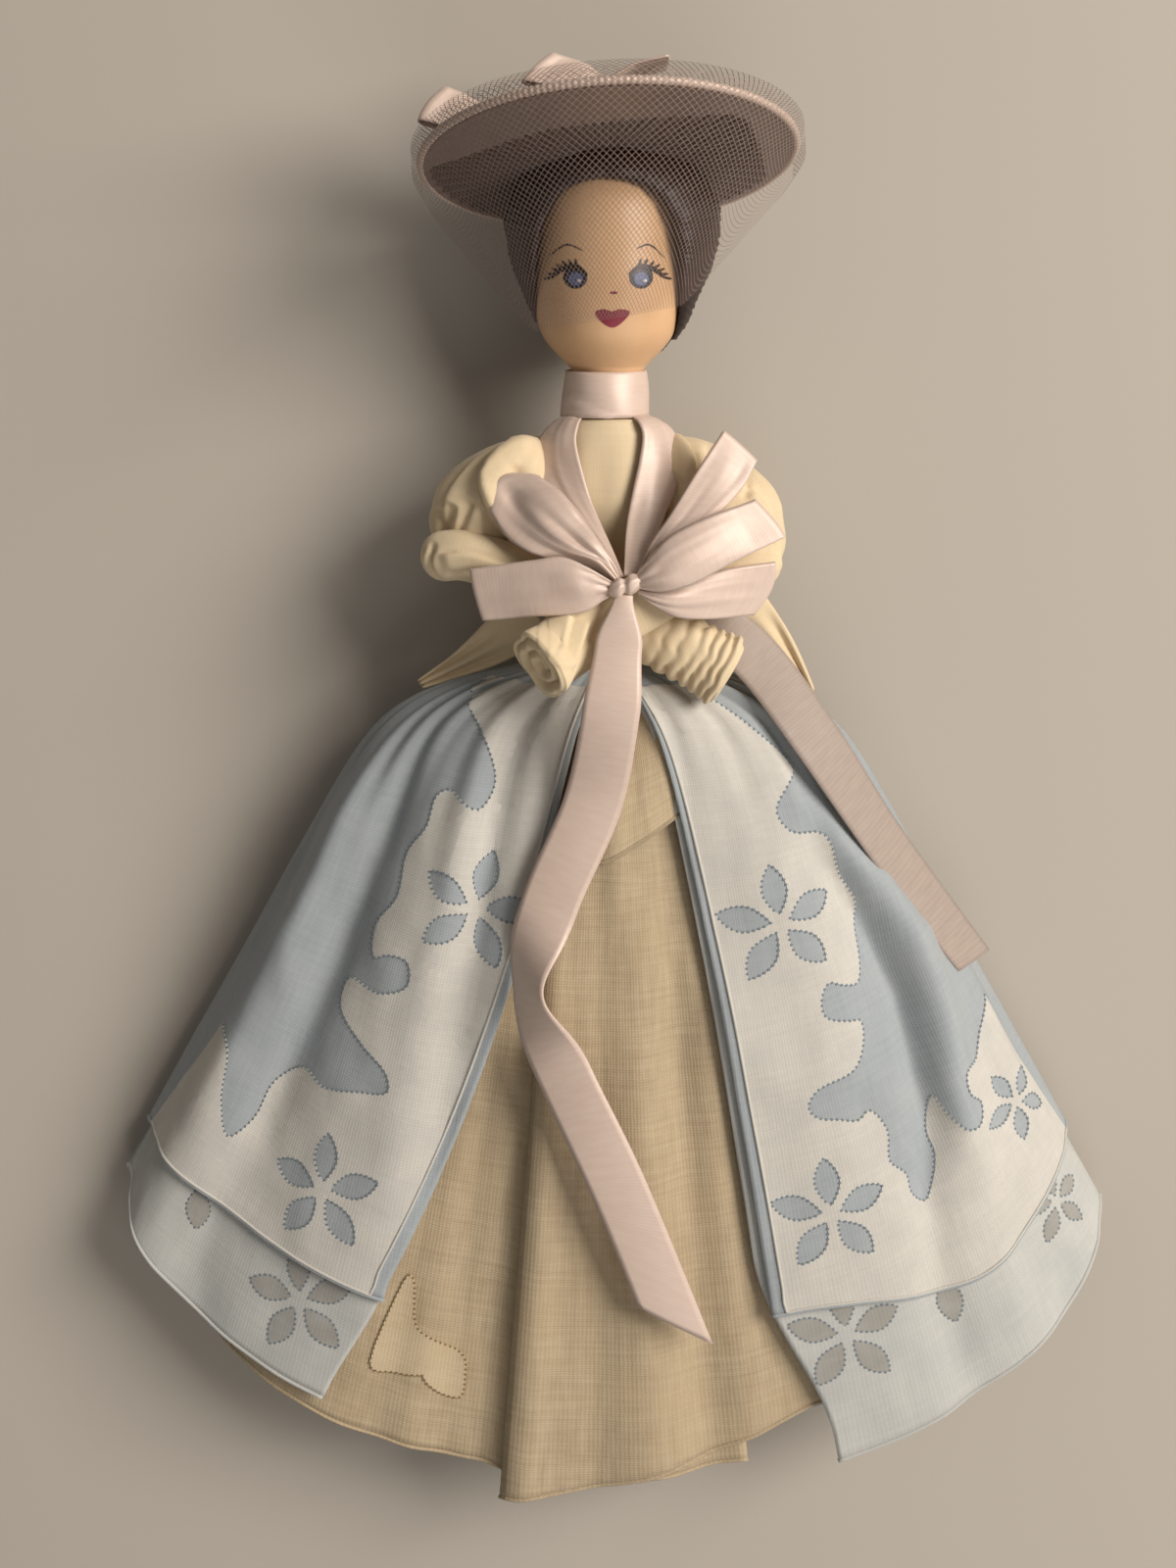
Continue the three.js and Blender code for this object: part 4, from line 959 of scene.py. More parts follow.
def patch_outline(scallops, side):
    """The outline of a patch: its scalloped edge, then the hem and the front edge of the skirt."""
    ring = smooth_points([(math.radians(turn), fall) for turn, fall in scallops])
    flank, front = math.radians(PATCH_FLANK * side), front_of(side, UPPER_LENGTH)
    inset = side * FRONT_INSET / CHART_RADIUS
    turns = [lerp(flank, front, i / EDGE_STEPS) for i in range(EDGE_STEPS + 1)]
    turns[-1] += inset
    hem = [(turn, upper_hem(turn) - HEM_INSET) for turn in turns]
    falls = [lerp(hem[-1][1], scallops[0][1], i / EDGE_STEPS) for i in range(1, EDGE_STEPS + 1)]
    ring += hem + [(front_of(side, fall) + inset, fall) for fall in falls]
    return [flat_spot(turn, fall) for turn, fall in ring]


def turn_edges_in(mesh):
    """Gives a flat patch a turned edge: a narrow wall down from its outline to the cloth under it."""
    rim = [edge for edge in mesh.edges if edge.is_boundary]
    for edge in rim:
        edge.smooth = False
    wall = bmesh.ops.extrude_edge_only(mesh, edges=rim)["geom"]
    for vert in (part for part in wall if isinstance(part, bmesh.types.BMVert)):
        vert.co.z = -TURNED_EDGE


def lay_on_skirt(mesh, out):
    """Lays a flat drawing on a layer of the skirt, whose place is given by turn and fall."""
    for vert in mesh.verts:
        turn, fall = vert.co.x / CHART_RADIUS, vert.co.y
        vert.co = MM * skirt_point(fall, turn, out(turn, fall) + vert.co.z)


def pin_stitches(name, rows, out, material="pin_thread"):
    """A row of small pulled holes along each line of places on the flat drawing."""
    spacing = bpy.context.scene.doll_sizes.stitch_spacing / MM
    mesh = bmesh.new()

    def laid(x, y, lift=0):
        turn = x / CHART_RADIUS
        return skirt_point(y, turn, out(turn, y) + lift)

    for row in rows:
        since = spacing
        for (ax, ay), (bx, by) in zip(row, row[1:]):
            span = (laid(bx, by) - laid(ax, ay)).length
            while since <= span:
                share = since / span
                x, y = lerp(ax, bx, share), lerp(ay, by, share)
                here = laid(x, y)
                normal = (here - laid(x, y, -1)).normalized()
                turn = normal.to_track_quat("Z", "Y").to_matrix().to_4x4()
                place = Matrix.Translation(MM * here) @ turn
                bmesh.ops.create_circle(
                    mesh, cap_ends=True, segments=6, radius=STITCH_RADIUS * MM, matrix=place
                )
                since += spacing
            since -= span
    make_piece(name, mesh, material, "doll")


def flower_petals(flowers):
    sizes = bpy.context.scene.doll_sizes
    length, width = sizes.petal_length / MM, sizes.petal_width / MM
    return [loop for flower in flowers for loop in petal_outlines(flower, length, width)]


def round_each(loops):
    return [loop + loop[:1] for loop in loops]


def build_patches():
    """White lawn with cut-out petals, sewn on the front of the upper tier."""
    on_top = LAWN_THICKNESS / 2 + PATCH_LIFT
    for name, side, scallops, flowers in (
        ("applique_left", -1, LEFT_SCALLOPS, LEFT_FLOWERS),
        ("applique_right", 1, RIGHT_SCALLOPS, RIGHT_FLOWERS),
    ):
        outline = patch_outline(scallops, side)
        scalloped = SPAN_STEPS * (len(scallops) - 1) + 1
        petals = flower_petals(flowers)
        mesh = filled_outline([outline, *petals], PATCH_GRID)
        turn_edges_in(mesh)
        lay_on_skirt(mesh, level_at(on_top))
        face_outward(mesh)
        area = surface_area(mesh)
        hemmed = outline[scalloped:]
        roll_hem(mesh, [skirt_point(y, x / CHART_RADIUS, on_top) for x, y in hemmed])
        piece = make_piece(name, mesh, "white_lawn", "doll")
        rows = round_each(petals) + [outline[:scalloped]]
        pin_stitches(name + "_stitches", rows, level_at(on_top + STITCH_LIFT))


def build_lower_petals():
    """Petals of the lower tier, seen from behind."""
    petals = flower_petals(LOWER_FLOWERS)
    mesh = charted_mesh()
    for loop in petals:
        join_to(mesh, filled_outline([loop], PATCH_GRID))
    on_lower = LOWER_OUT + LAWN_THICKNESS / 2 + PETAL_LIFT
    lay_on_skirt(mesh, level_at(on_lower))
    face_outward(mesh)
    make_piece("lower_tier_petals", mesh, "shadow_lawn", "doll")
    pin_stitches("lower_tier_stitches", round_each(petals), level_at(on_lower + STITCH_LIFT))


# The lobed patch at the petticoat's front corner, in degrees of turn and millimetres of fall
CORNER_LOBES = [
    (-24, 138), (-26, 158), (-23, 158.8), (-20.4, 157.8), (-19.9, 157.4), (-19.2, 159.2), (-17.4, 161.2),
    (-15.4, 161), (-15.2, 156), (-15.8, 151), (-19.6, 148.5), (-21.6, 146), (-22.6, 137),
]


def build_corner():
    """A patch of the same linen sewn on the petticoat's corner, beside the edge of the blue tier."""
    lobes = [Vector(flat_spot(math.radians(turn + 360), fall)) for turn, fall in CORNER_LOBES]
    outline = [(spot.x, spot.y) for spot in smooth_loop(lobes, 4)]

    def over_linen(lift):
        return lambda turn, fall: under_out(turn, fall) + LAWN_THICKNESS / 2 + CORNER_LIFT + lift

    mesh = filled_outline([outline], CORNER_GRID)
    turn_edges_in(mesh)
    lay_on_skirt(mesh, over_linen(0))
    face_outward(mesh)
    area = surface_area(mesh)
    patch = make_piece("underskirt_corner", mesh, "linen_patch", "doll")
    pin_stitches("underskirt_corner_stitches", round_each([outline]), over_linen(0.05), "linen_thread")


# Bodice and sleeves, in the torso's frame

BODICE_SECTIONS = [
    (0, BODICE_WAIST_RADIUS, BODICE_WAIST_RADIUS),
    (0.14, BODICE_WAIST_RADIUS * 1.05, BODICE_WAIST_RADIUS),
    (0.38, BODICE_HALF_WIDTH * 0.86, BODICE_HALF_DEPTH * 0.86),
    (0.62, BODICE_HALF_WIDTH, BODICE_HALF_DEPTH),
    (0.82, BODICE_HALF_WIDTH * 0.94, BODICE_HALF_DEPTH * 0.94),
    (0.94, lerp(BODICE_NECK, BODICE_HALF_WIDTH, 0.5), lerp(BODICE_NECK, BODICE_HALF_DEPTH, 0.4)),
    (1, BODICE_NECK, BODICE_NECK),
]
# The forearms, from the rolled elbow to the cuff: across, up and forward. Then half the roll's height
LEFT_ARM = [
    (-36.2, 21.6, 8), (-28, 22.8, 11.5), (-17, 19.5, 13), (-5, 14, 11.5), (8, 8.4, 13), (17, 4, 15),
    (23.4, 0.6, 15.5),
]
RIGHT_ARM = [
    (34, 20.8, 8), (26, 21.2, 11), (18, 19.5, 13.3), (7, 15.5, 17.5), (-4, 9.6, 19.4), (-9.5, 5.8, 21.6),
    (-13, 3.6, 25),
]
ROLL_HALF_HEIGHT = 4.9

# Folds pressed into the sleeves, as seen from the front: across and up the torso, height and reach.
# A layer stands proud on the left of its line, and a crease sinks along it
PUFF_LEFT_FOLDS = [
    (
        "layer",
        [(-11, 45.4), (-19.6, 42.9), (-24.2, 38.3), (-23.9, 33.1), (-21.7, 29), (-19.5, 25)], 2.6, 1.3,
    ),
    ("layer", [(-14, 46.5), (-19.5, 44.6), (-25.8, 41), (-30.6, 35.5), (-32.5, 31)], 1.0, 0.9),
    ("crease", [(-33.3, 32), (-33, 29), (-32.6, 26)], 1.1, 0.8),
    ("crease", [(-29.9, 33), (-31.1, 29.5), (-32, 26)], 1.3, 0.9),
    ("crease", [(-26.2, 34), (-28.2, 29.5), (-29.4, 26)], 1.2, 0.9),
    ("crease", [(-17.5, 40), (-19, 35), (-18.5, 30)], 0.8, 1.4),
]
PUFF_RIGHT_FOLDS = [
    ("layer", [(16, 36), (17.2, 39.3), (16.3, 43.3), (11, 47)], 1.6, 1.1),
    ("layer", [(31, 14), (33.4, 20), (33.6, 25.5), (31.4, 31), (27.2, 36.2), (22, 41)], 1.5, 1.1),
    ("crease", [(22, 46), (19.5, 42), (18.6, 38)], 1.0, 0.9),
    ("crease", [(26.5, 43), (27.5, 38), (26, 33)], 0.9, 0.9),
    ("crease", [(30, 17), (31, 21), (30.4, 26)], 0.9, 0.9),
]
ROLL_LEFT_FOLDS = [
    ("crease", [(-35.6, 25.4), (-37, 22), (-36, 19), (-34, 17)], 0.8, 0.5),
    ("crease", [(-33.4, 26), (-34.9, 22), (-34.2, 19), (-32.2, 17.2)], 1.1, 0.6),
    ("layer", [(-12, 19), (-20, 22.3), (-28, 24.2), (-33, 23.5)], 0.7, 0.9),
    ("crease", [(-32, 19.2), (-25, 20.4), (-18, 19)], 0.7, 0.9),
    ("crease", [(-6.5, 18), (-3, 14.5), (-1.6, 9)], 0.9, 1.0),
]
ROLL_RIGHT_FOLDS = [
    ("layer", [(-8.6, 5.4), (-7.6, 9.6), (-6.2, 14)], 0.9, 0.8),
    ("layer", [(-6.6, 2.6), (-4.8, 7.4), (-3, 12)], 0.9, 0.8),
    ("crease", [(2, 17), (-1.6, 12), (-3.2, 7)], 0.9, 1.0),
    ("crease", [(33, 24.6), (34.4, 21), (33.6, 17.8)], 0.8, 0.6),
]
CUFF_PLEATS = 8


def fold_lift(spot, kind, line, height, reach):
    """How far one pressed fold lifts the cloth at a place seen from the front."""
    nearest, side, share = 1e9, 1, 0
    for k, (a, b) in enumerate(zip(line, line[1:])):
        run = b - a
        t = min(max((spot - a).dot(run) / run.length_squared, 0), 1)
        gap = spot - a - run * t
        if gap.length_squared < nearest:
            nearest = gap.length_squared
            side = run.x * gap.y - run.y * gap.x
            share = (k + t) / (len(line) - 1)
    away = math.sqrt(nearest)
    full = height * smoothstep(share, 0, 0.15) * (1 - smoothstep(share, 0.85, 1))
    if kind == "crease":
        return -full * math.exp(-((away / reach) ** 2))
    if side > 0:
        lip = math.sqrt(1 - (1 - min(away / reach, 1)) ** 2)
        return full * lip * math.exp(-max(away - reach, 0) / (4 * reach))
    return -0.3 * full * math.exp(-away / reach)


def press_folds(mesh, folds):
    """Presses folds into the front of padded cloth, along its own normals."""
    mesh.normal_update()
    to_torso = FROM_TORSO.to_3x3()
    lines = []
    for kind, points, height, reach in folds:
        stops = [Vector((x, up, 0)) for x, up in points]
        spots = [through(stops, i / 12).xy for i in range(13)]
        low, high = (Vector(least(p[axis] for p in spots) for axis in (0, 1)) for least in (min, max))
        edge = Vector((6 * reach, 6 * reach))
        lines.append((low - edge, high + edge, (kind, spots, height, reach)))
    moves = []
    for vert in mesh.verts:
        facing = smoothstep((to_torso @ vert.normal).z, 0, 0.35)
        spot = (FROM_TORSO @ (vert.co / MM)).xy
        lift = 0
        for low, high, fold in lines if facing > 0 else ():
            if low.x < spot.x < high.x and low.y < spot.y < high.y:
                lift += fold_lift(spot, *fold)
        moves.append(vert.normal * (MM * facing * lift))
    for vert, move in zip(mesh.verts, moves):
        vert.co += move


def bodice_half(share):
    """Half width and half depth of the bodice at a share of its length."""
    for low, high in zip(BODICE_SECTIONS, BODICE_SECTIONS[1:]):
        if share <= high[0]:
            blend = (share - low[0]) / (high[0] - low[0])
            return lerp(low[1], high[1], blend), lerp(low[2], high[2], blend)
    return BODICE_SECTIONS[-1][1:]


def bodice_place(u, v):
    angle = 2 * math.pi * u
    half_width, half_depth = bodice_half(v)
    pleat = 1 + 0.03 * math.sin(9 * angle + 3 * v) * math.sin(math.pi * v)
    x, w = half_width * pleat * math.cos(angle), half_depth * pleat * math.sin(angle)
    return to_world(TORSO, x, BODICE_FOOT + v * BODICE_LENGTH, w)


def puff_place(side):
    def place(u, v):
        angle = 2 * math.pi * u
        share = lerp(-0.985, 0.985, v)
        swell = math.sqrt(1 - share * share)
        ruck = noise.noise(Vector((3 * math.cos(angle), 3 * math.sin(angle), 5 * v + side)))
        folds = 1 + swell * (0.025 * math.cos(7 * angle + 0.6) + 0.05 * ruck)
        lean = -2.5 * share - 6 * max(share, 0) ** 2
        x = side * (PUFF_OUT - 1 + lean) + 0.93 * PUFF_HALF_WIDTH * swell * folds * math.cos(angle)
        w = 1 + PUFF_HALF_DEPTH * swell * folds * math.sin(angle)
        foot = PUFF_UP - PUFF_HALF_LENGTH + (7.5 if side < 0 else 2)
        up = lerp(foot, PUFF_UP + PUFF_HALF_LENGTH, (share + 1) / 2)
        return to_world(TORSO, x, up, w)

    return place


def ridge(x):
    """A row of round ridges with sharp valleys between them, one to each unit."""
    return abs(math.sin(math.pi * x))


def forearm_place(route, pleats, tuck):
    """A rolled sleeve: a rounded elbow, a tube pressed flat at the crossing, and a coiled end."""
    elbow, end = 0.08, 0.86

    def place(u, v):
        angle = 2 * math.pi * u
        spot = min(v / end, 1)
        middle, along = through(route, spot), heading(route, spot)
        across = Vector((0, 0, 1)).cross(along).normalized()
        deep = along.cross(across).normalized()
        pressed = math.exp(-(((spot - 0.55) / 0.16) ** 2))
        half_depth = lerp(SLEEVE_HALF_DEPTH, SLEEVE_PRESSED, pressed)
        half_height = lerp(ROLL_HALF_HEIGHT, 0.93 * SLEEVE_HALF_WIDTH, smoothstep(spot, 0.2, 0.6))
        round_off = math.sqrt(max(1 - (1 - min(v / elbow, 1)) ** 2, 0))
        wander = noise.noise(Vector((2 * math.cos(angle), 2 * math.sin(angle), 9 * spot)))
        row = CUFF_PLEATS * ((spot - 0.6) / 0.4) ** 1.2 if spot > 0.6 else 0
        rings = pleats * smoothstep(spot, 0.62, 0.78) * (ridge(row + 0.35 * wander) - 0.6) * (1 + wander)
        tucks = tuck * (ridge(4 * u + 0.9 * spot) - 0.7) * smoothstep(spot, 0.66, 0.95)
        swell = round_off * (1 + rings + tucks + 0.02 * math.sin(5 * angle + 14 * v))
        coil = max(v - end, 0) / (1 - end)
        swell *= 1 - 0.97 * coil
        flare = 1 + 0.12 * smoothstep(spot, 0.85, 1)
        height = half_height * swell * flare * math.cos(angle)
        depth = half_depth * swell * flare * flare * math.sin(angle)
        rolled = smoothstep(coil, 0, 0.15) * (1 - smoothstep(coil, 0.75, 1))
        turned = 1.7 * (ridge(2.6 * coil + u) - 0.5) * rolled - coil
        return TORSO @ (middle + across * height + deep * depth + along * turned)

    return place


def peplum_place(root, tip, half_root):
    """A corner of the handkerchief that hangs out behind the sleeve, with a rippled edge."""
    root, tip = Vector(root), Vector(tip)
    run = (tip - root).normalized()
    wide = Vector((0, 0, 1)).cross(run).normalized()

    def place(u, v):
        across = lerp(-1, 1, u)
        half = lerp(half_root, 1, v**0.9)
        ripple = 0.7 * math.sin(7 * across + 3 * v) * smoothstep(v, 0.1, 0.6)
        bow = 1.2 * math.sin(math.pi * v)
        spot = root.lerp(tip, v) + wide * (across * half + bow)
        return to_world(TORSO, spot.x, spot.y, spot.z + 1.4 * (1 - across * across) * (1 - v) + ripple)

    return place


def build_bodice():
    """The cream handkerchief: bodice, puffed sleeves, crossed forearms and the corners behind them."""
    padded = [
        ("bodice", bodice_place, 72, 48, []),
        ("sleeve_puff_left", puff_place(-1), 170, 110, PUFF_LEFT_FOLDS),
        ("sleeve_puff_right", puff_place(1), 170, 110, PUFF_RIGHT_FOLDS),
        ("forearm_left", forearm_place(LEFT_ARM, 0.13, 0.04), 110, 190, ROLL_LEFT_FOLDS),
        ("forearm_right", forearm_place(RIGHT_ARM, 0, 0.16), 110, 190, ROLL_RIGHT_FOLDS),
    ]
    for name, place, around, along, folds in padded:
        mesh = laid_cloth(around, along, place, (60, 45), closed=True)
        press_folds(mesh, folds)
        piece = make_piece(name + "_cloth", mesh, "cream_lawn", "doll", name)
    for name, root, tip, half in (
        ("peplum_left", (-14.5, 10.4, 1), (-38, -5.4, -1.5), 6.6),
        ("peplum_right", (25, 12.5, 2), (41.4, -6.6, 0.5), 6),
    ):
        mesh = laid_cloth(24, 40, peplum_place(root, tip, half), (12, 28))
        area = surface_area(mesh)
        piece = thicken(make_piece(name + "_cloth", mesh, "cream_lawn", "doll", name), LAWN_THICKNESS)


# Ribbon

# Middle and half sizes of the bow's knot, across, up and forward
KNOT = (3.3, 18.9, 24.6)
KNOT_HALF = (3.3, 2.1, 1.9)
# The ribbon round the neck: its lower and upper edges, and its radius at the lower one
NECK_RIBBON_FOOT = 49
NECK_RIBBON_TOP = 57.7
NECK_RIBBON_RADIUS = 8.5
# Edges of the lapels from the neck to the knot: across, up and forward
LAPELS = {
    "lapel_left": (
        [
            (-7.4, 52, 2.2), (-7.8, 49.3, 2.6), (-9.9, 48.2, 4.2), (-12.4, 46, 5), (-14.2, 42.6, 5.4),
            (-12.8, 37.4, 9), (-8.4, 32, 13.4), (-3.6, 27, 18), (1.6, 20, 22.4),
        ],
        [
            (-4.4, 52, 6), (-4.7, 49.4, 6.6), (-5.6, 48.2, 8.8), (-6.2, 45, 10.4), (-4.9, 39, 11.9),
            (-3.3, 34, 13.2), (-1.4, 29.6, 15.6), (0.6, 25.6, 18.6), (3, 20.4, 22.6),
        ],
    ),
    "lapel_right": (
        [
            (4.4, 52, 6), (4.7, 49.4, 6.6), (5.8, 48.2, 8.8), (6.6, 46, 9.8), (6.2, 41.6, 11.4),
            (4.8, 35.4, 12.8), (3.6, 29.2, 15.6), (3, 20.6, 22.6),
        ],
        [
            (7.4, 52, 2.2), (7.8, 49.3, 2.6), (10.2, 48.2, 4.2), (12.8, 46.6, 4.6), (14.8, 40.8, 6.2),
            (13, 34.8, 9.8), (9.8, 28.4, 15.2), (6.2, 20.2, 22.4),
        ],
    ),
}
# Edges of the bow's loops from the knot to the fold, the crown between them, the swell of the fold,
# its depth, and for one loop how far it is crumpled
LOOPS = {
    "bow_loop_left_lower": (
        [(1.4, 19.2, 23.6), (-4.4, 22.7, 25), (-9, 24.3, 25), (-14.2, 23.6, 24), (-25.7, 21.5, 21)],
        [(1.4, 17.4, 23.6), (-1, 16, 24), (-4.4, 13.9, 24.2), (-14.2, 12.8, 23), (-23.4, 11.6, 20.4)],
        0.8, 0.3, 1.1,
    ),
    "bow_loop_left_upper": (
        [
            (2.4, 19.6, 22.4), (0.6, 23, 21.6), (-1.9, 27.2, 20.6), (-4.8, 31, 19.2), (-8.8, 35.4, 17.6),
            (-12.6, 38, 16),
        ],
        [
            (2, 18.6, 22.6), (-3.1, 22.3, 22.4), (-9.2, 23, 21), (-14.3, 24.1, 19.6), (-19.2, 27.2, 17.6),
            (-22, 31, 16),
        ],
        1.8, 4.2, 2.4, 3.2,
    ),
    "bow_loop_right_tall": (
        [(5.4, 20.3, 22), (8.1, 26.1, 21.2), (11.5, 31.2, 20), (16.6, 39.3, 18), (21.7, 46.7, 15.4)],
        [(7, 20.6, 22), (12.1, 26, 21.6), (19.6, 30.7, 20), (25.6, 36.6, 17.6), (28.2, 41, 15.4)],
        0.5, 0.2, 1.0,
    ),
    "bow_loop_right_lower": (
        [(5.6, 18.2, 23), (10.3, 18.4, 23.4), (16.1, 19.8, 22.4), (22.4, 21.4, 21), (31.5, 22.4, 18.4)],
        [(5.6, 17.2, 23.2), (9.2, 14.8, 23.4), (12.7, 12.8, 23), (19.6, 12.1, 21.6), (27.5, 12.4, 19.2)],
        1.2, 1.6, 1.1,
    ),
    "bow_loop_right_middle": (
        [(5.2, 20.6, 24), (8.3, 24.6, 25), (11.3, 28, 25.2), (18.7, 31.7, 24), (27.1, 34.4, 21)],
        [(5.8, 18.4, 24.4), (10.2, 18.1, 26), (15.1, 19.3, 26.4), (23.4, 23.3, 24.6), (33, 27.4, 21.6)],
        1.6, 0.4, 1.4,
    ),
}


def laid_between(near, far, crown, swell, gather, crumple):
    """Ribbon between two edges: gathered in small ridges where it starts, and crowned along its middle."""
    seed = near[0][0] + far[-1][1]

    def place(u, share):
        a, b = through(near, share), through(far, share)
        along = heading(near, share).lerp(heading(far, share), u).normalized()
        rise = along.cross(b - a).normalized()
        rise = -rise if rise.z < 0 else rise
        ridges = gather * math.cos(2 * math.pi * 3 * u) * (1 - smoothstep(share, 0.05, 0.45))
        broad = noise.noise(Vector((2.4 * u, 3.2 * share, seed)))
        fine = noise.noise(Vector((7 * u, 2 * share, seed)))
        dents = crumple * math.sin(math.pi * share) * (broad + 0.4 * fine)
        lift = crown * 4 * u * (1 - u) * math.sin(math.pi * min(share + 0.12, 1)) + ridges + dents
        out = swell * math.sin(math.pi * u) ** 0.8 * smoothstep(share, 0.5, 1)
        return a.lerp(b, u) + rise * lift + along * out

    return place


def lapel_place(near, far):
    laid = laid_between(near, far, 0.5, 0, 0, 0.5)
    return lambda u, v: TORSO @ laid(u, v)


def loop_place(near, far, crown, swell, depth, crumple=0.6, matrix=TORSO):
    """A loop of ribbon: out from where it is tied, round a pressed fold and back underneath."""
    laid = laid_between(near, far, crown, swell, 0.3, crumple)
    bend = 0.04

    def place(u, v):
        share = min((0.5 - abs(v - 0.5)) / (0.5 - bend), 1)
        spot = laid(u, share)
        below = depth * smoothstep(share, 0, 0.3)
        turn = math.pi * min(max((v - 0.5 + bend) / (2 * bend), 0), 1)
        way = (laid(u, 1) - laid(u, 0.97)).normalized()
        spot += way * (depth / 2 * math.sin(turn)) - Vector((0, 0, below * (1 - math.cos(turn)) / 2))
        return matrix @ spot

    return place


def knot_place(u, v):
    """The knot: two small lobes of ribbon with a nip between them, the right one a little higher."""
    angle = 2 * math.pi * u
    share = lerp(-0.985, 0.985, v)
    swell = math.sqrt(1 - share * share) * (1 - 0.34 * math.exp(-(((share + 0.05) / 0.2) ** 2)))
    ribs = 1 + 0.05 * math.sin(6 * angle + 3 * share)
    x = KNOT[0] + KNOT_HALF[0] * share
    up = KNOT[1] + 0.9 * share + KNOT_HALF[1] * swell * ribs * math.cos(angle)
    return to_world(TORSO, x, up, KNOT[2] + KNOT_HALF[2] * swell * ribs * math.sin(angle))


def neck_ribbon_place(u, v):
    """The ribbon round the neck, with its end lapped over in a slanting fold at the front."""
    angle = 2 * math.pi * u
    up = lerp(NECK_RIBBON_FOOT, NECK_RIBBON_TOP, v)
    uneven = 0.12 * math.sin(3 * angle + 4 * v) + 0.18 * math.sin(math.pi * v)
    radius = NECK_RIBBON_RADIUS - 0.75 * v + uneven
    x, forward = radius * math.sin(angle), radius * math.cos(angle)
    lapped = smoothstep(53.6 - 0.5 * (x + 8) - up, -0.15, 0.3) * smoothstep(forward, 0, 3)
    stretch = 1 + 0.06 * lapped
    return to_world(TORSO, x * stretch - 0.35, up, forward * stretch)


def route_place(route, slant):
    """Ribbon along a given route: each stop has a place, a lean about its run and a width."""
    stops = [stop[0] for stop in route]

    def place(u, v):
        v *= 1 - slant * (1 - u) * v**6
        middle, along = through(stops, v), heading(stops, v)
        spot = v * (len(route) - 1)
        k = min(int(spot), len(route) - 2)
        blend = smoothstep(spot - k, 0, 1)
        lean = math.radians(lerp(route[k][1], route[k + 1][1], blend))
        width = lerp(route[k][2], route[k + 1][2], blend)
        level = Vector((0, 0, 1)).cross(along).normalized()
        rise = along.cross(level).normalized()
        across = level * math.cos(lean) + rise * math.sin(lean)
        crown = along.cross(across).normalized() * (0.35 * (1 - (2 * u - 1) ** 2))
        return middle + across * ((u - 0.5) * width) + crown

    return place


def front_tail_route():
    def lain(share, side, lift):
        return smooth_skirt(share * UPPER_LENGTH, math.asin(side), 2.1 + lift)

    return [
        (to_world(TORSO, 3, 17.2, 24.4), 0, 3.4),
        (to_world(TORSO, 2, 7.5, 25.4), 0, 9),
        (to_world(TORSO, 0.6, -5, 27.4), 0, 11),
        (lain(0.185, -0.05, 1.6), 0, RIBBON_WIDTH),
        (lain(0.33, -0.165, 1), 10, RIBBON_WIDTH),
        (lain(0.455, -0.205, 3.4), 58, RIBBON_WIDTH),
        (lain(0.58, -0.1, 1.4), 12, RIBBON_WIDTH),
        (lain(0.74, 0.02, 1), 4, RIBBON_WIDTH),
        (lain(1.02, 0.15, 0.6), 0, RIBBON_WIDTH),
    ]


def side_tail_route():
    def lain(share, turn, lift):
        return smooth_skirt(share * UPPER_LENGTH, math.radians(turn), 0.8 + lift)

    return [
        (to_world(TORSO, 13.5, 14, 9.4), 0, 8),
        (to_world(TORSO, 21, 9.6, 9.8), 0, 9),
        (to_world(TORSO, 30, 1.5, 9), -20, 10.5),
        (lain(0.14, 54, 3), -34, RIBBON_WIDTH),
        (lain(0.35, 62, 1.6), -42, RIBBON_WIDTH),
        (lain(0.65, 77, 2), -48, RIBBON_WIDTH),
    ]


def ribbon_piece(name, mesh, material, body):
    """Ribbon of the stock width, thickened, standing for its CAD node."""
    area = surface_area(mesh)
    piece = thicken(make_piece(name + "_ribbon", mesh, material, body, name), RIBBON_THICKNESS)
    return piece


def build_bow():
    """The ribbon at the neck, its lapels, and the bow's knot and loops."""
    for name, edges in LAPELS.items():
        mesh = laid_cloth(16, 64, lapel_place(*edges), (RIBBON_WIDTH, 32))
        ribbon_piece(name, mesh, "satin", "doll")
    mesh = laid_cloth(64, 12, neck_ribbon_place, (50, RIBBON_WIDTH))
    weld(mesh)
    ribbon_piece("neck_ribbon", mesh, "satin", "doll")
    for name, loop in LOOPS.items():
        mesh = laid_cloth(20, 130, loop_place(*loop), (RIBBON_WIDTH, 60))
        ribbon_piece(name, mesh, "satin", "doll")
    mesh = laid_cloth(40, 40, knot_place, (16, 9), closed=True)
    knot = make_piece("bow_knot_satin", mesh, "satin", "doll", "bow_knot")


def build_tails():
    """The two ribbon ends: one down the front of the skirt, one along its right flank."""
    # Name, route, the stop where it starts to bend, finish, rows, length on the chart, slant of the cut end
    tails = [
        ("front_tail", front_tail_route(), 0, "satin", 180, 150, 0.04),
        ("side_tail", side_tail_route(), 1, "darker_matt_ribbon", 120, 110, 0.03),
    ]
    for name, route, hinge, material, rows, length, slant in tails:
        mesh = laid_cloth(10, rows, route_place(route, slant), (RIBBON_WIDTH, length))
        piece = ribbon_piece(name, mesh, material, None)
        start, end = (MM * route[k][0] for k in (hinge, hinge + 1))
        tuple(start)
        tuple(end)
        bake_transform(piece)


# Head

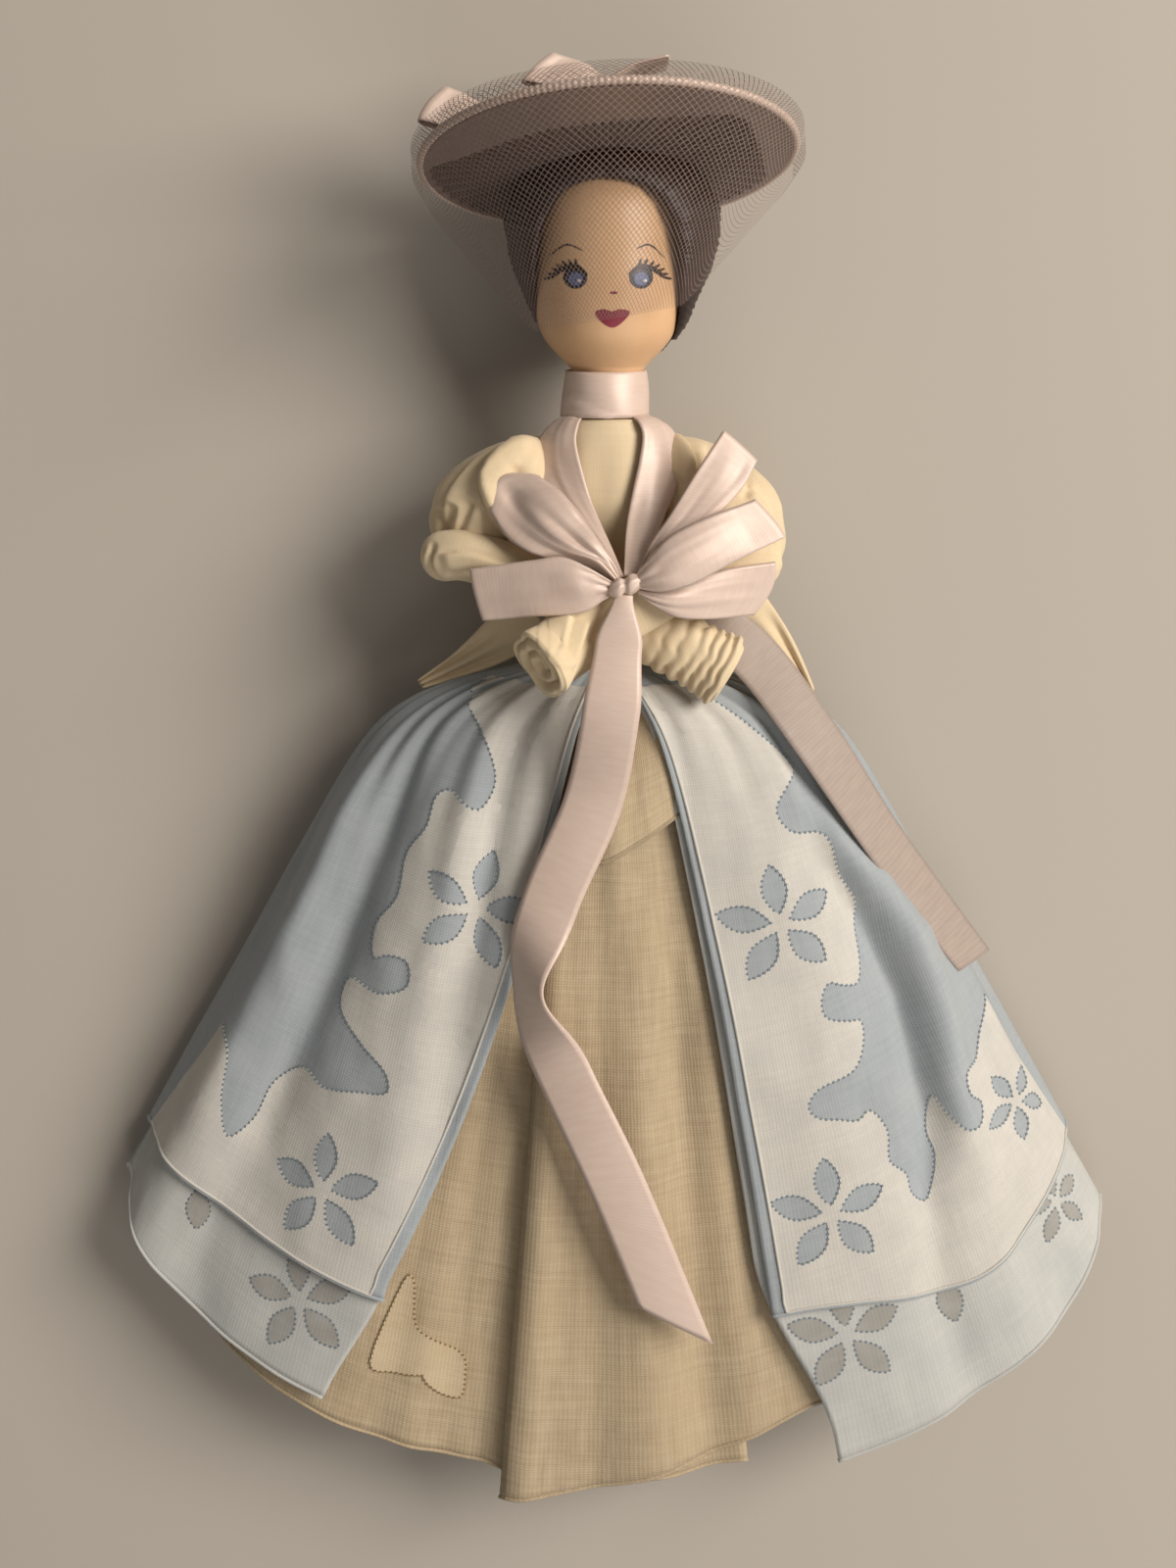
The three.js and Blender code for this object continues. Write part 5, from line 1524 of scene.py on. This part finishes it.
CROWN = HEAD_TOP - HEAD_WIDEST
HEAD_PROFILE = [
    (NECK_RADIUS, CHIN, 0),
    (JAW_RADIUS, lerp(CHIN, HEAD_WIDEST, 0.3), 0),
    (CHEEK_RADIUS, lerp(CHIN, HEAD_WIDEST, 0.68), 0),
    (HEAD_RADIUS, HEAD_WIDEST, 0),
    (HEAD_RADIUS * 0.9, HEAD_WIDEST + CROWN * 0.55, 0),
    (HEAD_RADIUS * 0.56, HEAD_WIDEST + CROWN * 0.88, 0),
]

# The painted face, in millimetres across and up the torso
EYES = [(-6.2, 75.5), (6.2, 75.5)]
LID = [(4.5, 0), (2.3, 1.6), (-0.4, 1.95), (-2.3, 0.7)]
LASHES = 7
LASH_LENGTH = 1.6
LASH_WIDTH = 0.52
LID_WIDTH = 1.0
BROWS = [[(-11.1, 79.5), (-7.8, 81.5), (-4.7, 80.4)], [(5.4, 80.8), (7.7, 81.5), (10.8, 79)]]
BROW_WIDTH = 0.34
BRUSH_GRID = 0.8
UPPER_LIP = [(-2.5, 69.1), (-0.9, 69.75), (0.7, 69.35), (2.3, 69.75), (4.1, 69.2)]
LOWER_LIP = [(2.9, 67.5), (0.9, 66.3), (-1.2, 67.3)]


def head_outline():
    skin = [through(HEAD_PROFILE, i / 40) for i in range(41)]
    top = [(HEAD_RADIUS * 0.3, HEAD_TOP - 0.6), (0, HEAD_TOP)]
    return [(NECK_RADIUS, NECK_FOOT), *((p.x, p.y) for p in skin), *top]


def head_radius(up):
    outline = head_outline()
    for (ra, ua), (rb, ub) in zip(outline, outline[1:]):
        if ua <= up <= ub:
            return lerp(ra, rb, (up - ua) / max(ub - ua, 1e-6))
    return NECK_RADIUS


def face_point(x, up, out):
    radius = head_radius(up) + out
    return to_world(TORSO, x, up, math.sqrt(max(radius * radius - x * x, 0)))


def brush_mark(name, loops, material, out):
    """Paint on the face: outlines in millimetres across and up, laid on the head."""
    whole = charted_mesh()
    for loop in loops:
        part = filled_outline([loop], BRUSH_GRID)
        for vert in part.verts:
            vert.co = MM * face_point(vert.co.x, vert.co.y, out)
        face_outward(part)
        join_to(whole, part)
    make_piece(name, whole, material, "head")


def stroke(points, width):
    """A tapering brush stroke along a few points."""
    count = 10
    stops = [Vector((*p, 0)) for p in points]
    left, right = [], []
    for i in range(count + 1):
        share = i / count
        spot, way = through(stops, share), heading(stops, share)
        half = width / 2 * (0.25 + 0.75 * math.sin(math.pi * min(share * 0.9 + 0.1, 1)))
        left.append((spot.x - way.y * half, spot.y + way.x * half))
        right.append((spot.x + way.y * half, spot.y - way.x * half))
    return left + right[::-1]


def disc(x, up, half_width, half_height, count=28):
    angles = [2 * math.pi * i / count for i in range(count)]
    return [(x + half_width * math.cos(a), up + half_height * math.sin(a)) for a in angles]


def build_head():
    """The turned wooden head and its painted face."""
    mesh = spun(head_outline(), TORSO, 96)
    weld(mesh, close=True)
    face_outward(mesh)
    make_piece("head_wood", mesh, "painted_wood", "head", "head")
    brush_mark("iris_rims", [disc(x, up + 0.1, 2.3, 2.15) for x, up in EYES], "iris_rim", 0.03)
    brush_mark("irises", [disc(x + 0.05, up - 0.25, 1.4, 1.2) for x, up in EYES], "iris_paint", 0.06)
    # Glints: small white flecks, painted highlights on the irises
    brush_mark("glints", [disc(x + 0.75, up - 0.55, 0.34, 0.26) for x, up in EYES], "painted_glint", 0.12)
    lids = []
    for (x, up), side in zip(EYES, (-1, 1)):
        lid = [(x + side * across, up + rise) for across, rise in LID]
        lids.append(stroke(lid, LID_WIDTH))
        stops = [Vector((*p, 0)) for p in lid]
        for k in range(LASHES):
            root = through(stops, k * 0.11)
            lean = math.radians(lerp(-12, 78, k / (LASHES - 1)))
            tip = (root.x + side * LASH_LENGTH * math.cos(lean), root.y + LASH_LENGTH * math.sin(lean))
            lids.append(stroke([(root.x, root.y), tip], LASH_WIDTH))
    brush_mark("lashes", lids, "lash_paint", 0.13)
    brush_mark("brows", [stroke(brow, BROW_WIDTH) for brow in BROWS], "lash_paint", 0.05)
    mouth = [tuple(p) for p in smooth_loop(UPPER_LIP + LOWER_LIP, 4)]
    nose = disc(1.05, 72.75, 0.8, 0.26)
    brush_mark("lips", [mouth, nose], "lip_paint", 0.05)


# Half widths of the wig from the nape to the crown: up the torso, and out from its middle
HAIR_WIDTHS = [
    (56, 5), (61, 10.4), (66, 14.6), (71, 16.7), (76, 18.9), (81, 20.4), (88, 20.8), (93, 18.8),
    (98, 14), (103, 5),
]
HAIR_SHARES = [(up, i / (len(HAIR_WIDTHS) - 1)) for i, (up, half) in enumerate(HAIR_WIDTHS)]
HAIR_COLUMNS = 420
HAIR_ROWS = 56
# Share of a strand that is tucked against the skin, and how far up into the hat the wig goes
HAIR_ROOT = 0.04
HAIR_UNDER_HAT = 0.9


def hair_egg(direction, strand):
    """A place on the wig's outside, in the torso's frame."""
    share = direction.y
    up = HEAD_WIDEST + share * HAIR_HALF_HEIGHT
    swell = (1 - abs(share) ** 2.6) ** (1 / 2.6)
    half = through([Vector((u, w, 0)) for u, w in HAIR_WIDTHS], along_line(HAIR_SHARES, up)).y
    ring = math.hypot(direction.x, direction.z) or 1
    x = 0.9 + (min(half, 30 * swell) + strand) * direction.x / ring
    w = -HAIR_SET_BACK + (HAIR_HALF_DEPTH * swell + strand) * direction.z / ring
    return Vector((x, up, w))


def swept(turn, tip):
    """The way to a place on the wig: a turn round the face and a tip back from its middle."""
    return Vector((math.sin(tip) * math.sin(turn), math.sin(tip) * math.cos(turn), math.cos(tip)))


def hairline(turn):
    """How far back the hair starts at a turn round the face."""
    low, high = CHIN - 6, HEAD_WIDEST + HAIRLINE_ABOVE_WIDEST
    middle, half = (low + high) / 2, (high - low) / 2
    for i in range(20, 97):
        spot = hair_egg(swept(turn, math.radians(i)), 0)
        if abs(spot.x / FACE_HALF_WIDTH) ** 2.5 + abs((spot.y - middle) / half) ** 2.5 > 1:
            return math.radians(i)
    return math.radians(97)


def hair_strand(turn, v):
    """The relief of the strands, which are swept back from the face."""
    fine = 0.1 * math.sin(95 * turn + 2 * math.sin(7 * turn + 2 * v))
    fine += 0.06 * math.sin(171 * turn + 3 * v)
    locks = 0.6 * noise.noise(Vector((5 * math.sin(turn), 5 * math.cos(turn), 1.4 * v)))
    stray = 0.2 * noise.noise(Vector((40 * math.sin(turn), 40 * math.cos(turn), 1)))
    return (fine + locks + stray) * smoothstep(v, 0, 0.06) - 0.9 * (1 - smoothstep(v, 0, 0.1))


def build_hair():
    """The wig: a soft cap of strands swept back from an opening for the face."""
    starts = [hairline(2 * math.pi * i / HAIR_COLUMNS) for i in range(HAIR_COLUMNS + 1)]

    def place(u, v):
        turn = 2 * math.pi * u
        back = lerp(starts[round(u * HAIR_COLUMNS)], math.pi, max(v - HAIR_ROOT, 0) / (1 - HAIR_ROOT))
        spot = hair_egg(swept(turn, back), hair_strand(turn, v))
        if v < HAIR_ROOT:
            inside = head_radius(spot.y) - 0.3
            skin = math.sqrt(max(inside * inside - spot.x * spot.x, 0))
            spot.z = lerp(min(skin, spot.z), spot.z, v / HAIR_ROOT)
        return spot

    mesh = laid_cloth(HAIR_COLUMNS, HAIR_ROWS, place, (130, 50))
    weld(mesh, distance=1e-7)
    hat = FROM_TORSO @ HAT
    under_hat = MM * (hat @ Vector((0, HAIR_UNDER_HAT, 0)))
    upward = hat.to_3x3() @ Vector((0, 1, 0))
    cut_beyond(mesh, under_hat, upward)
    bmesh.ops.holes_fill(mesh, edges=mesh.edges, sides=0)
    face_outward(mesh)
    in_metres = TORSO.copy()
    in_metres.translation = MM * TORSO.translation
    bmesh.ops.transform(mesh, matrix=in_metres, verts=mesh.verts)
    hair = make_piece("hair_wig", mesh, "wig_hair", "head", "hair")


# Hat and veil

# The edge of the folded satin on the brim's underside, where the lining's painted shade ends: across, and
# forward of the hat's middle
FOLD_EDGE = [
    (-34, 1.5), (-27.5, 4.7), (-10.9, 14.9), (6.8, 17.4), (21.7, 18.4), (25, 15), (28, 2), (31, -14),
]
BRIM_HOLE = 9
BRIM_COLUMNS = 384
BRIM_ROWS = 30
FOLDED_ROWS = 12
BRIM_CHART = (180, 20)
CROWN_THICKNESS = 0.8
# Half the crown's outline, as shares of its radius and its height
CROWN_SHAPE = [(1, 0), (0.97, 0.55), (0.82, 0.88), (0.5, 1), (0, 1)]


def brim_spot(angle, share):
    """A place on the brim from its hole to its rim: across and forward of the hat's middle."""
    radius = lerp(BRIM_HOLE, BRIM_RADIUS - 1, share)
    return radius * math.sin(angle), radius * math.cos(angle) - CROWN_SET_BACK * (1 - share)


def fold_share(angle):
    """How far out along the brim the folded satin starts."""
    for i in range(8, 94):
        x, forward = brim_spot(angle, i / 100)
        if forward > along_line(FOLD_EDGE, x):
            return i / 100
    return 0.94


def brim_place(u, v):
    """The brim's satin: pleated near the head, with a smooth fold of satin round its outer part."""
    angle = 2 * math.pi * u
    start = fold_share(angle)
    inner_rows = 1 - FOLDED_ROWS / BRIM_ROWS
    folded = v > inner_rows + 1e-6
    share = lerp(start, 1, (v - inner_rows) / (1 - inner_rows)) if folded else start * v / inner_rows
    x, forward = brim_spot(angle, share)
    pleat = 0 if folded else 0.3 * math.sin(64 * angle + 2 * math.sin(5 * angle))
    height = BRIM_CONE * (1 - share) + pleat - (0.5 * (1 - share) if folded else 0)
    return to_world(HAT, x, height, forward)


# Edges of the ribbon loops on the hat: across, up and forward in the hat's frame
HAT_LOOPS = {
    "hat_loop_left": (
        [(-17, 3.6, -3), (-25, 6, 0), (-34, 8.4, 2)],
        [(-16, 8, -4), (-23, 12.6, -1), (-28.8, 14.8, 1)], 1.2, 0.8, 2.5,
    ),
    "hat_loop_middle": (
        [(0, 12.4, -2), (-7, 13.6, 1), (-14.4, 15, 2)],
        [(1.5, 15.5, -4), (-3, 19.2, -2), (-8.6, 20.8, 0)], 1.0, 0.4, 2.0,
    ),
    "hat_loop_right": (
        [(1, 14.6, 0), (5, 17.4, 1), (11.8, 18.4, 2)],
        [(1, 15.2, -8), (5, 18.4, -8), (11.8, 20, -7)], 0.4, 0.3, 1.2,
    ),
}


def round_hat(radius, height, angle):
    return to_world(HAT, radius * math.sin(angle), height, radius * math.cos(angle))


def rim_place(u, v):
    """The rim's cord, drawn in by the net's stitches about every millimetre."""
    angle, ring = 2 * math.pi * u, 2 * math.pi * v
    radius = RIM_SHOWN_RADIUS * (0.86 + 0.28 * abs(math.sin(RIM_STITCHES * angle / 2)))
    out = BRIM_RADIUS - RIM_SHOWN_RADIUS + radius * math.cos(ring)
    return round_hat(out, radius * math.sin(ring), angle)


def build_brim():
    """The brim's satin: a pleated lining painted darker as shade, a fold of satin below, and plain satin on
    top.
    """
    mesh = laid_cloth(BRIM_COLUMNS, BRIM_ROWS, brim_place, BRIM_CHART)
    chart = mesh.loops.layers.uv["cloth"]
    fold_from = BRIM_CHART[1] * (1 - FOLDED_ROWS / BRIM_ROWS) * MM - 1e-6
    # Faces of the pleated lining take its painted shade, and the fold takes the plain satin
    for face in mesh.faces:
        face.material_index = int(min(loop[chart].uv.y for loop in face.loops) > fold_from)
    weld(mesh)
    mesh.normal_update()
    facing = sum((face.normal for face in mesh.faces), Vector())
    if facing.dot(HAT.to_3x3() @ Vector((0, 1, 0))) > 0:
        bmesh.ops.reverse_faces(mesh, faces=mesh.faces)
    area = surface_area(mesh)
    brim = thicken(make_piece("hat_brim_satin", mesh, "hat_lining_painted_shade", "head", "hat_brim"), BRIM_THICKNESS)
    brim.data.materials.append(finish("hat_satin"))
    brim.modifiers["cloth"].material_offset = 1


def build_hat():
    """The satin hat: brim, crown, corded rim and ribbon loops."""
    build_brim()
    seat = BRIM_CONE + BRIM_THICKNESS / 2 + 0.3
    crown = [(CROWN_RADIUS * out, seat + CROWN_HEIGHT * up) for out, up in CROWN_SHAPE]
    mesh = spun(crown, HAT @ Matrix.Translation((0, 0, -CROWN_SET_BACK)), 72)
    thicken(make_piece("hat_crown_satin", mesh, "hat_satin", "head", "hat_crown"), CROWN_THICKNESS)
    mesh = laid_cloth(4 * RIM_STITCHES, 10, rim_place, (225, 5))
    weld(mesh)
    face_outward(mesh)
    make_piece("hat_edge_cord", mesh, "satin", "head", "hat_edge")
    for name, loop in HAT_LOOPS.items():
        mesh = laid_cloth(14, 90, loop_place(*loop, matrix=HAT), (RIBBON_WIDTH, 40))
        ribbon_piece(name, mesh, "satin", "head")


# Heights of the net over the brim, and where it turns down round the rim, in the hat's frame
VEIL_CAP_HEIGHT = 2.9
VEIL_RIM_HEIGHTS = (1.9, -2.1)
VEIL_TURNED = 0.1
# Each net: width and length of the piece it is cut from, and the places between which the fall bends
VEIL_CAP_NET = (118, 12)
VEIL_FALL_NET = (108, 44)


def net_cloth(width, length, place):
    """Net of square cells on the bias: each cell of a turned grid keeps a thin frame as its threads."""
    sizes = bpy.context.scene.doll_sizes
    cell, thread = sizes.net_cell / MM, sizes.net_thread / MM
    count = math.ceil((width + length) / math.sqrt(2) / cell)
    mesh = charted_mesh()
    bmesh.ops.create_grid(mesh, x_segments=count, y_segments=count, size=count * cell / 2)
    bmesh.ops.rotate(mesh, verts=mesh.verts, matrix=Matrix.Rotation(math.pi / 4, 3, "Z"))
    for way, reach in (((1, 0, 0), width), ((-1, 0, 0), width), ((0, 1, 0), length), ((0, -1, 0), length)):
        side = Vector(way)
        cut_beyond(mesh, side * reach / 2, side)
    small = [face for face in mesh.faces if face.calc_area() < 0.3 * cell * cell]
    bmesh.ops.delete(mesh, geom=small, context="FACES")
    made = bmesh.ops.inset_individual(mesh, faces=mesh.faces[:], thickness=thread / 2)
    frames = set(made["faces"])
    holes = [face for face in mesh.faces if face not in frames]
    bmesh.ops.delete(mesh, geom=holes, context="FACES")
    for vert in mesh.verts:
        vert.co = MM * place(vert.co.x / width + 0.5, vert.co.y / length + 0.5)
    return mesh


def veil_cap_place(u, v):
    inner = CROWN_RADIUS + CROWN_SET_BACK + 3
    angle = math.radians(lerp(-VEIL_REACH, VEIL_REACH, u))
    radius = lerp(inner, VEIL_RADIUS, v)
    return round_hat(radius, VEIL_CAP_HEIGHT, angle)


def veil_fall_place(u, v):
    degrees = lerp(-VEIL_REACH, VEIL_REACH, u)
    angle = math.radians(degrees)
    top, rim = (FROM_TORSO @ round_hat(VEIL_RADIUS, height, angle) for height in VEIL_RIM_HEIGHTS)
    turn = 0.8 * angle
    depth = lerp(VEIL_SIDE_DEPTH, VEIL_STAND_OFF, math.cos(turn))
    across = VEIL_HALF_WIDTH * math.sin(turn)
    hem = Vector((across, VEIL_HEM + VEIL_SLANT * across, depth))
    hem = hem.lerp(rim, 0.84 * smoothstep(abs(degrees), VEIL_REACH / 2, VEIL_REACH))
    if v < VEIL_TURNED:
        return TORSO @ top.lerp(rim, v / VEIL_TURNED)
    return TORSO @ rim.lerp(hem, (v - VEIL_TURNED) / (1 - VEIL_TURNED))


def net_flat(thread_area, place):
    """A net's flat size: the mean width of the outline that its threads fill, and its drop."""
    sizes = bpy.context.scene.doll_sizes
    filled = 1 - (1 - sizes.net_thread / sizes.net_cell) ** 2
    middle = [MM * place(0.5, i / 24) for i in range(25)]
    drop = sum((b - a).length for a, b in zip(middle, middle[1:]))
    return thread_area / filled / drop, drop


def build_veil():
    """The tulle: a cap over the brim and the fall in front of the face."""
    nets = [
        ("veil_cap", VEIL_CAP_NET, veil_cap_place, "head", "stretched"),
        ("veil_fall", VEIL_FALL_NET, veil_fall_place, None, "hung"),
    ]
    for name, net, place, body, held in nets:
        mesh = net_cloth(*net, place)
        area = surface_area(mesh)
        piece = make_piece(name + "_tulle", mesh, "tulle", body, name)
        net_flat(area, place)
        if body is None:
            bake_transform(piece)


def build_core():
    """The dowel and the binding thread keep their CAD shapes and get their own finishes."""
    for node, material in (("body_dowel", "bare_wood"), ("waist_thread", "binding_thread")):
        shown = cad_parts[node]
        shown.data.materials.clear()
        shown.data.materials.append(finish(material))


# Stage

FLOOR_COLOUR = "#B3ABA0"
SKY_COLOUR = "#E6E2DC"
SKY_STRENGTH = 0.16
# Lamps: place, size, watts and tint, all aimed at the middle of the doll
LAMPS = {
    "key": ((0.95, 0.52, 0.88), 0.75, 23, "#FFF8F0"),
    "fill": ((-0.5, 0.1, 0.9), 1.1, 0.6, "#FFFAF5"),
    "low": ((0.35, -0.6, 0.75), 0.8, 2.8, "#FFFBF7"),
}
LAMP_TARGET = Vector((0, 0.07, 0.02))
CAMERA_PLACE = (-0.0038, 0.1517, 0.4416)
CAMERA_TIP = -10
CAMERA_LENS = 47.925


def build_stage():
    """A pale floor, soft light from the upper right and the camera above the doll."""
    scene = bpy.context.scene
    mesh = bmesh.new()
    bmesh.ops.create_grid(mesh, x_segments=1, y_segments=1, size=3)
    data = to_data("floor", mesh)
    # Plain matt paper, so that only the doll's shadow shows on it
    made, tree, shader = start_material("pale floor", Roughness=0.9)
    shader.inputs["Base Color"].default_value = linear(FLOOR_COLOUR)
    data.materials.append(made)
    link_object("floor", data)
    for name, (place, size, watts, tint) in LAMPS.items():
        lamp = bpy.data.lights.new(name, "AREA")
        lamp.size = size
        lamp.energy = watts
        lamp.color = linear(tint)[:3]
        holder = link_object(name, lamp)
        holder.location = place
        holder.rotation_euler = (LAMP_TARGET - Vector(place)).to_track_quat("-Z", "Y").to_euler()
    world = bpy.data.worlds.new("studio")
    world.use_nodes = True
    sky = world.node_tree.nodes["Background"].inputs
    sky["Color"].default_value = linear(SKY_COLOUR)
    sky["Strength"].default_value = SKY_STRENGTH
    scene.world = world
    view = bpy.data.cameras.new("view")
    view.lens = CAMERA_LENS
    view.sensor_width = 36
    camera = link_object("view", view)
    camera.location = CAMERA_PLACE
    camera.rotation_euler = (math.radians(CAMERA_TIP), 0, 0)
    scene.camera = camera
    scene.view_settings.view_transform = "Standard"


# Add-on


def length_property(name, description, default):
    return bpy.props.FloatProperty(name=name, description=description, default=default, unit="LENGTH")


# Colours of each cloth, paint and thread: darker, paler and, for some cloths, cloudy places
TONES = ("dark", "light", "cloud")
COLOURS = {
    "blue": ("Blue lawn", "#8A9195", "#A9AEB0", "#A3A6A5"),
    "reverse": ("Lawn's wrong side", "#A9AAA6", "#C6C4BD"),
    "white": ("White lawn", "#B6B2A9", "#D2CDC4", "#BAB7B0"),
    "shadow": ("Petals seen from behind", "#8C8983", "#A19D95"),
    "linen": ("Linen", "#927C5F", "#C8B799", "#B59F7E"),
    "cream": ("Cream lawn", "#D2BC98", "#E3D0AF", "#D0BA95"),
    "satin": ("Satin ribbon", "#C8B0A1", "#DAC5B7"),
    # The side tail's ribbon, darker and matt
    "back": ("Darker matt ribbon", "#94847A", "#AA9A8E"),
    # The hat satin darkened as painted shade inside the brim
    "hat": ("Hat satin", "#614A41", "#85695C"),
    "lining": ("Hat lining in painted shade", "#42312A", "#5B463C"),
    "skin": ("Flesh paint", "#CB9F75", "#DDB68D"),
    "hair": ("Hair", "#0F0605", "#28120C"),
    "tulle": ("Tulle", "#7E685C", "#9A857B"),
    "lip": ("Lip paint", "#6E1A2B", "#943244"),
    "iris": ("Iris paint", "#2E3C62", "#6F81AB"),
    "pin": ("Pin stitches", "#5F6B75", "#7D8890"),
}


def colour_properties():
    """A hex value for each tone of each colour, named such as blue_dark."""
    made = {}
    for key, (label, *values) in COLOURS.items():
        for tone, value in zip(TONES, values):
            name = f"{label}, {tone}"
            made[f"{key}_{tone}"] = bpy.props.StringProperty(
                name=name, description=f"sRGB hex value of {name}", default=value
            )
    return made


class DollColours(bpy.types.PropertyGroup):
    """Colours of the cloths, paints and ribbon, as sRGB hex values."""

    __annotations__ = colour_properties()


class DollSizes(bpy.types.PropertyGroup):
    """Sizes of the fine work."""

    petal_length: length_property("Petal length", "Length of an applique petal", 0.0102)
    petal_width: length_property("Petal width", "Width of an applique petal", 0.0053)
    stitch_spacing: length_property("Stitch spacing", "Distance between pin stitches", 0.00115)
    net_thread: length_property("Net thread", "Width of a thread of the tulle", 0.00015)
    net_cell: length_property("Net cell", "Side of a cell of the tulle", 0.00085)


class DOLL_OT_stage(bpy.types.Operator):
    """Make the floor, the lamps and the camera"""

    bl_idname = "doll.stage"
    bl_label = "Stage"
    bl_options = {"REGISTER", "UNDO"}

    def execute(self, context):
        build_stage()
        return {"FINISHED"}


class DOLL_OT_core(bpy.types.Operator):
    """Finish the dowel and the binding thread"""

    bl_idname = "doll.core"
    bl_label = "Core"
    bl_options = {"REGISTER", "UNDO"}

    def execute(self, context):
        build_core()
        return {"FINISHED"}


class DOLL_OT_skirts(bpy.types.Operator):
    """Make the two tiers of lawn and the linen petticoat"""

    bl_idname = "doll.skirts"
    bl_label = "Skirts"
    bl_options = {"REGISTER", "UNDO"}

    def execute(self, context):
        build_skirts()
        build_flap()
        return {"FINISHED"}


class DOLL_OT_applique(bpy.types.Operator):
    """Sew the white lawn flowers on the overskirt"""

    bl_idname = "doll.applique"
    bl_label = "Applique"
    bl_options = {"REGISTER", "UNDO"}

    def execute(self, context):
        build_patches()
        build_lower_petals()
        build_corner()
        return {"FINISHED"}


class DOLL_OT_bodice(bpy.types.Operator):
    """Make the bodice, the sleeves and the corners behind them"""

    bl_idname = "doll.bodice"
    bl_label = "Bodice and sleeves"
    bl_options = {"REGISTER", "UNDO"}

    def execute(self, context):
        build_bodice()
        return {"FINISHED"}


class DOLL_OT_bow(bpy.types.Operator):
    """Tie the ribbon round the neck and into a bow"""

    bl_idname = "doll.bow"
    bl_label = "Bow"
    bl_options = {"REGISTER", "UNDO"}

    def execute(self, context):
        build_bow()
        build_tails()
        return {"FINISHED"}


class DOLL_OT_head(bpy.types.Operator):
    """Turn the head, paint its face and set the wig"""

    bl_idname = "doll.head"
    bl_label = "Head and hair"
    bl_options = {"REGISTER", "UNDO"}

    def execute(self, context):
        build_head()
        build_hair()
        return {"FINISHED"}


class DOLL_OT_hat(bpy.types.Operator):
    """Make the hat with its trimming and the veil"""

    bl_idname = "doll.hat"
    bl_label = "Hat and veil"
    bl_options = {"REGISTER", "UNDO"}

    def execute(self, context):
        build_hat()
        build_veil()
        return {"FINISHED"}


OPERATORS = (
    DOLL_OT_stage, DOLL_OT_core, DOLL_OT_skirts, DOLL_OT_applique, DOLL_OT_bodice, DOLL_OT_bow,
    DOLL_OT_head, DOLL_OT_hat,
)


class DOLL_PT_panel(bpy.types.Panel):
    """The doll's pieces in the order they are made"""

    bl_label = "Handkerchief Doll"
    bl_space_type = "VIEW_3D"
    bl_region_type = "UI"
    bl_category = "Doll"

    def draw(self, context):
        for group in (context.scene.doll_sizes, context.scene.doll_colours):
            for name in group.__annotations__:
                self.layout.prop(group, name)
        for operator in OPERATORS:
            self.layout.operator(operator.bl_idname)


CLASSES = (DollColours, DollSizes, *OPERATORS, DOLL_PT_panel)


def register():
    for cls in CLASSES:
        bpy.utils.register_class(cls)
    bpy.types.Scene.doll_colours = bpy.props.PointerProperty(type=DollColours)
    bpy.types.Scene.doll_sizes = bpy.props.PointerProperty(type=DollSizes)


def unregister():
    del bpy.types.Scene.doll_sizes
    del bpy.types.Scene.doll_colours
    for cls in reversed(CLASSES):
        bpy.utils.unregister_class(cls)


def main():
    register()
    bpy.ops.doll.stage()
    bpy.ops.doll.core()
    bpy.ops.doll.skirts()
    bpy.ops.doll.applique()
    bpy.ops.doll.bodice()
    bpy.ops.doll.bow()
    bpy.ops.doll.head()
    bpy.ops.doll.hat()


if __name__ == "__main__":
    main()
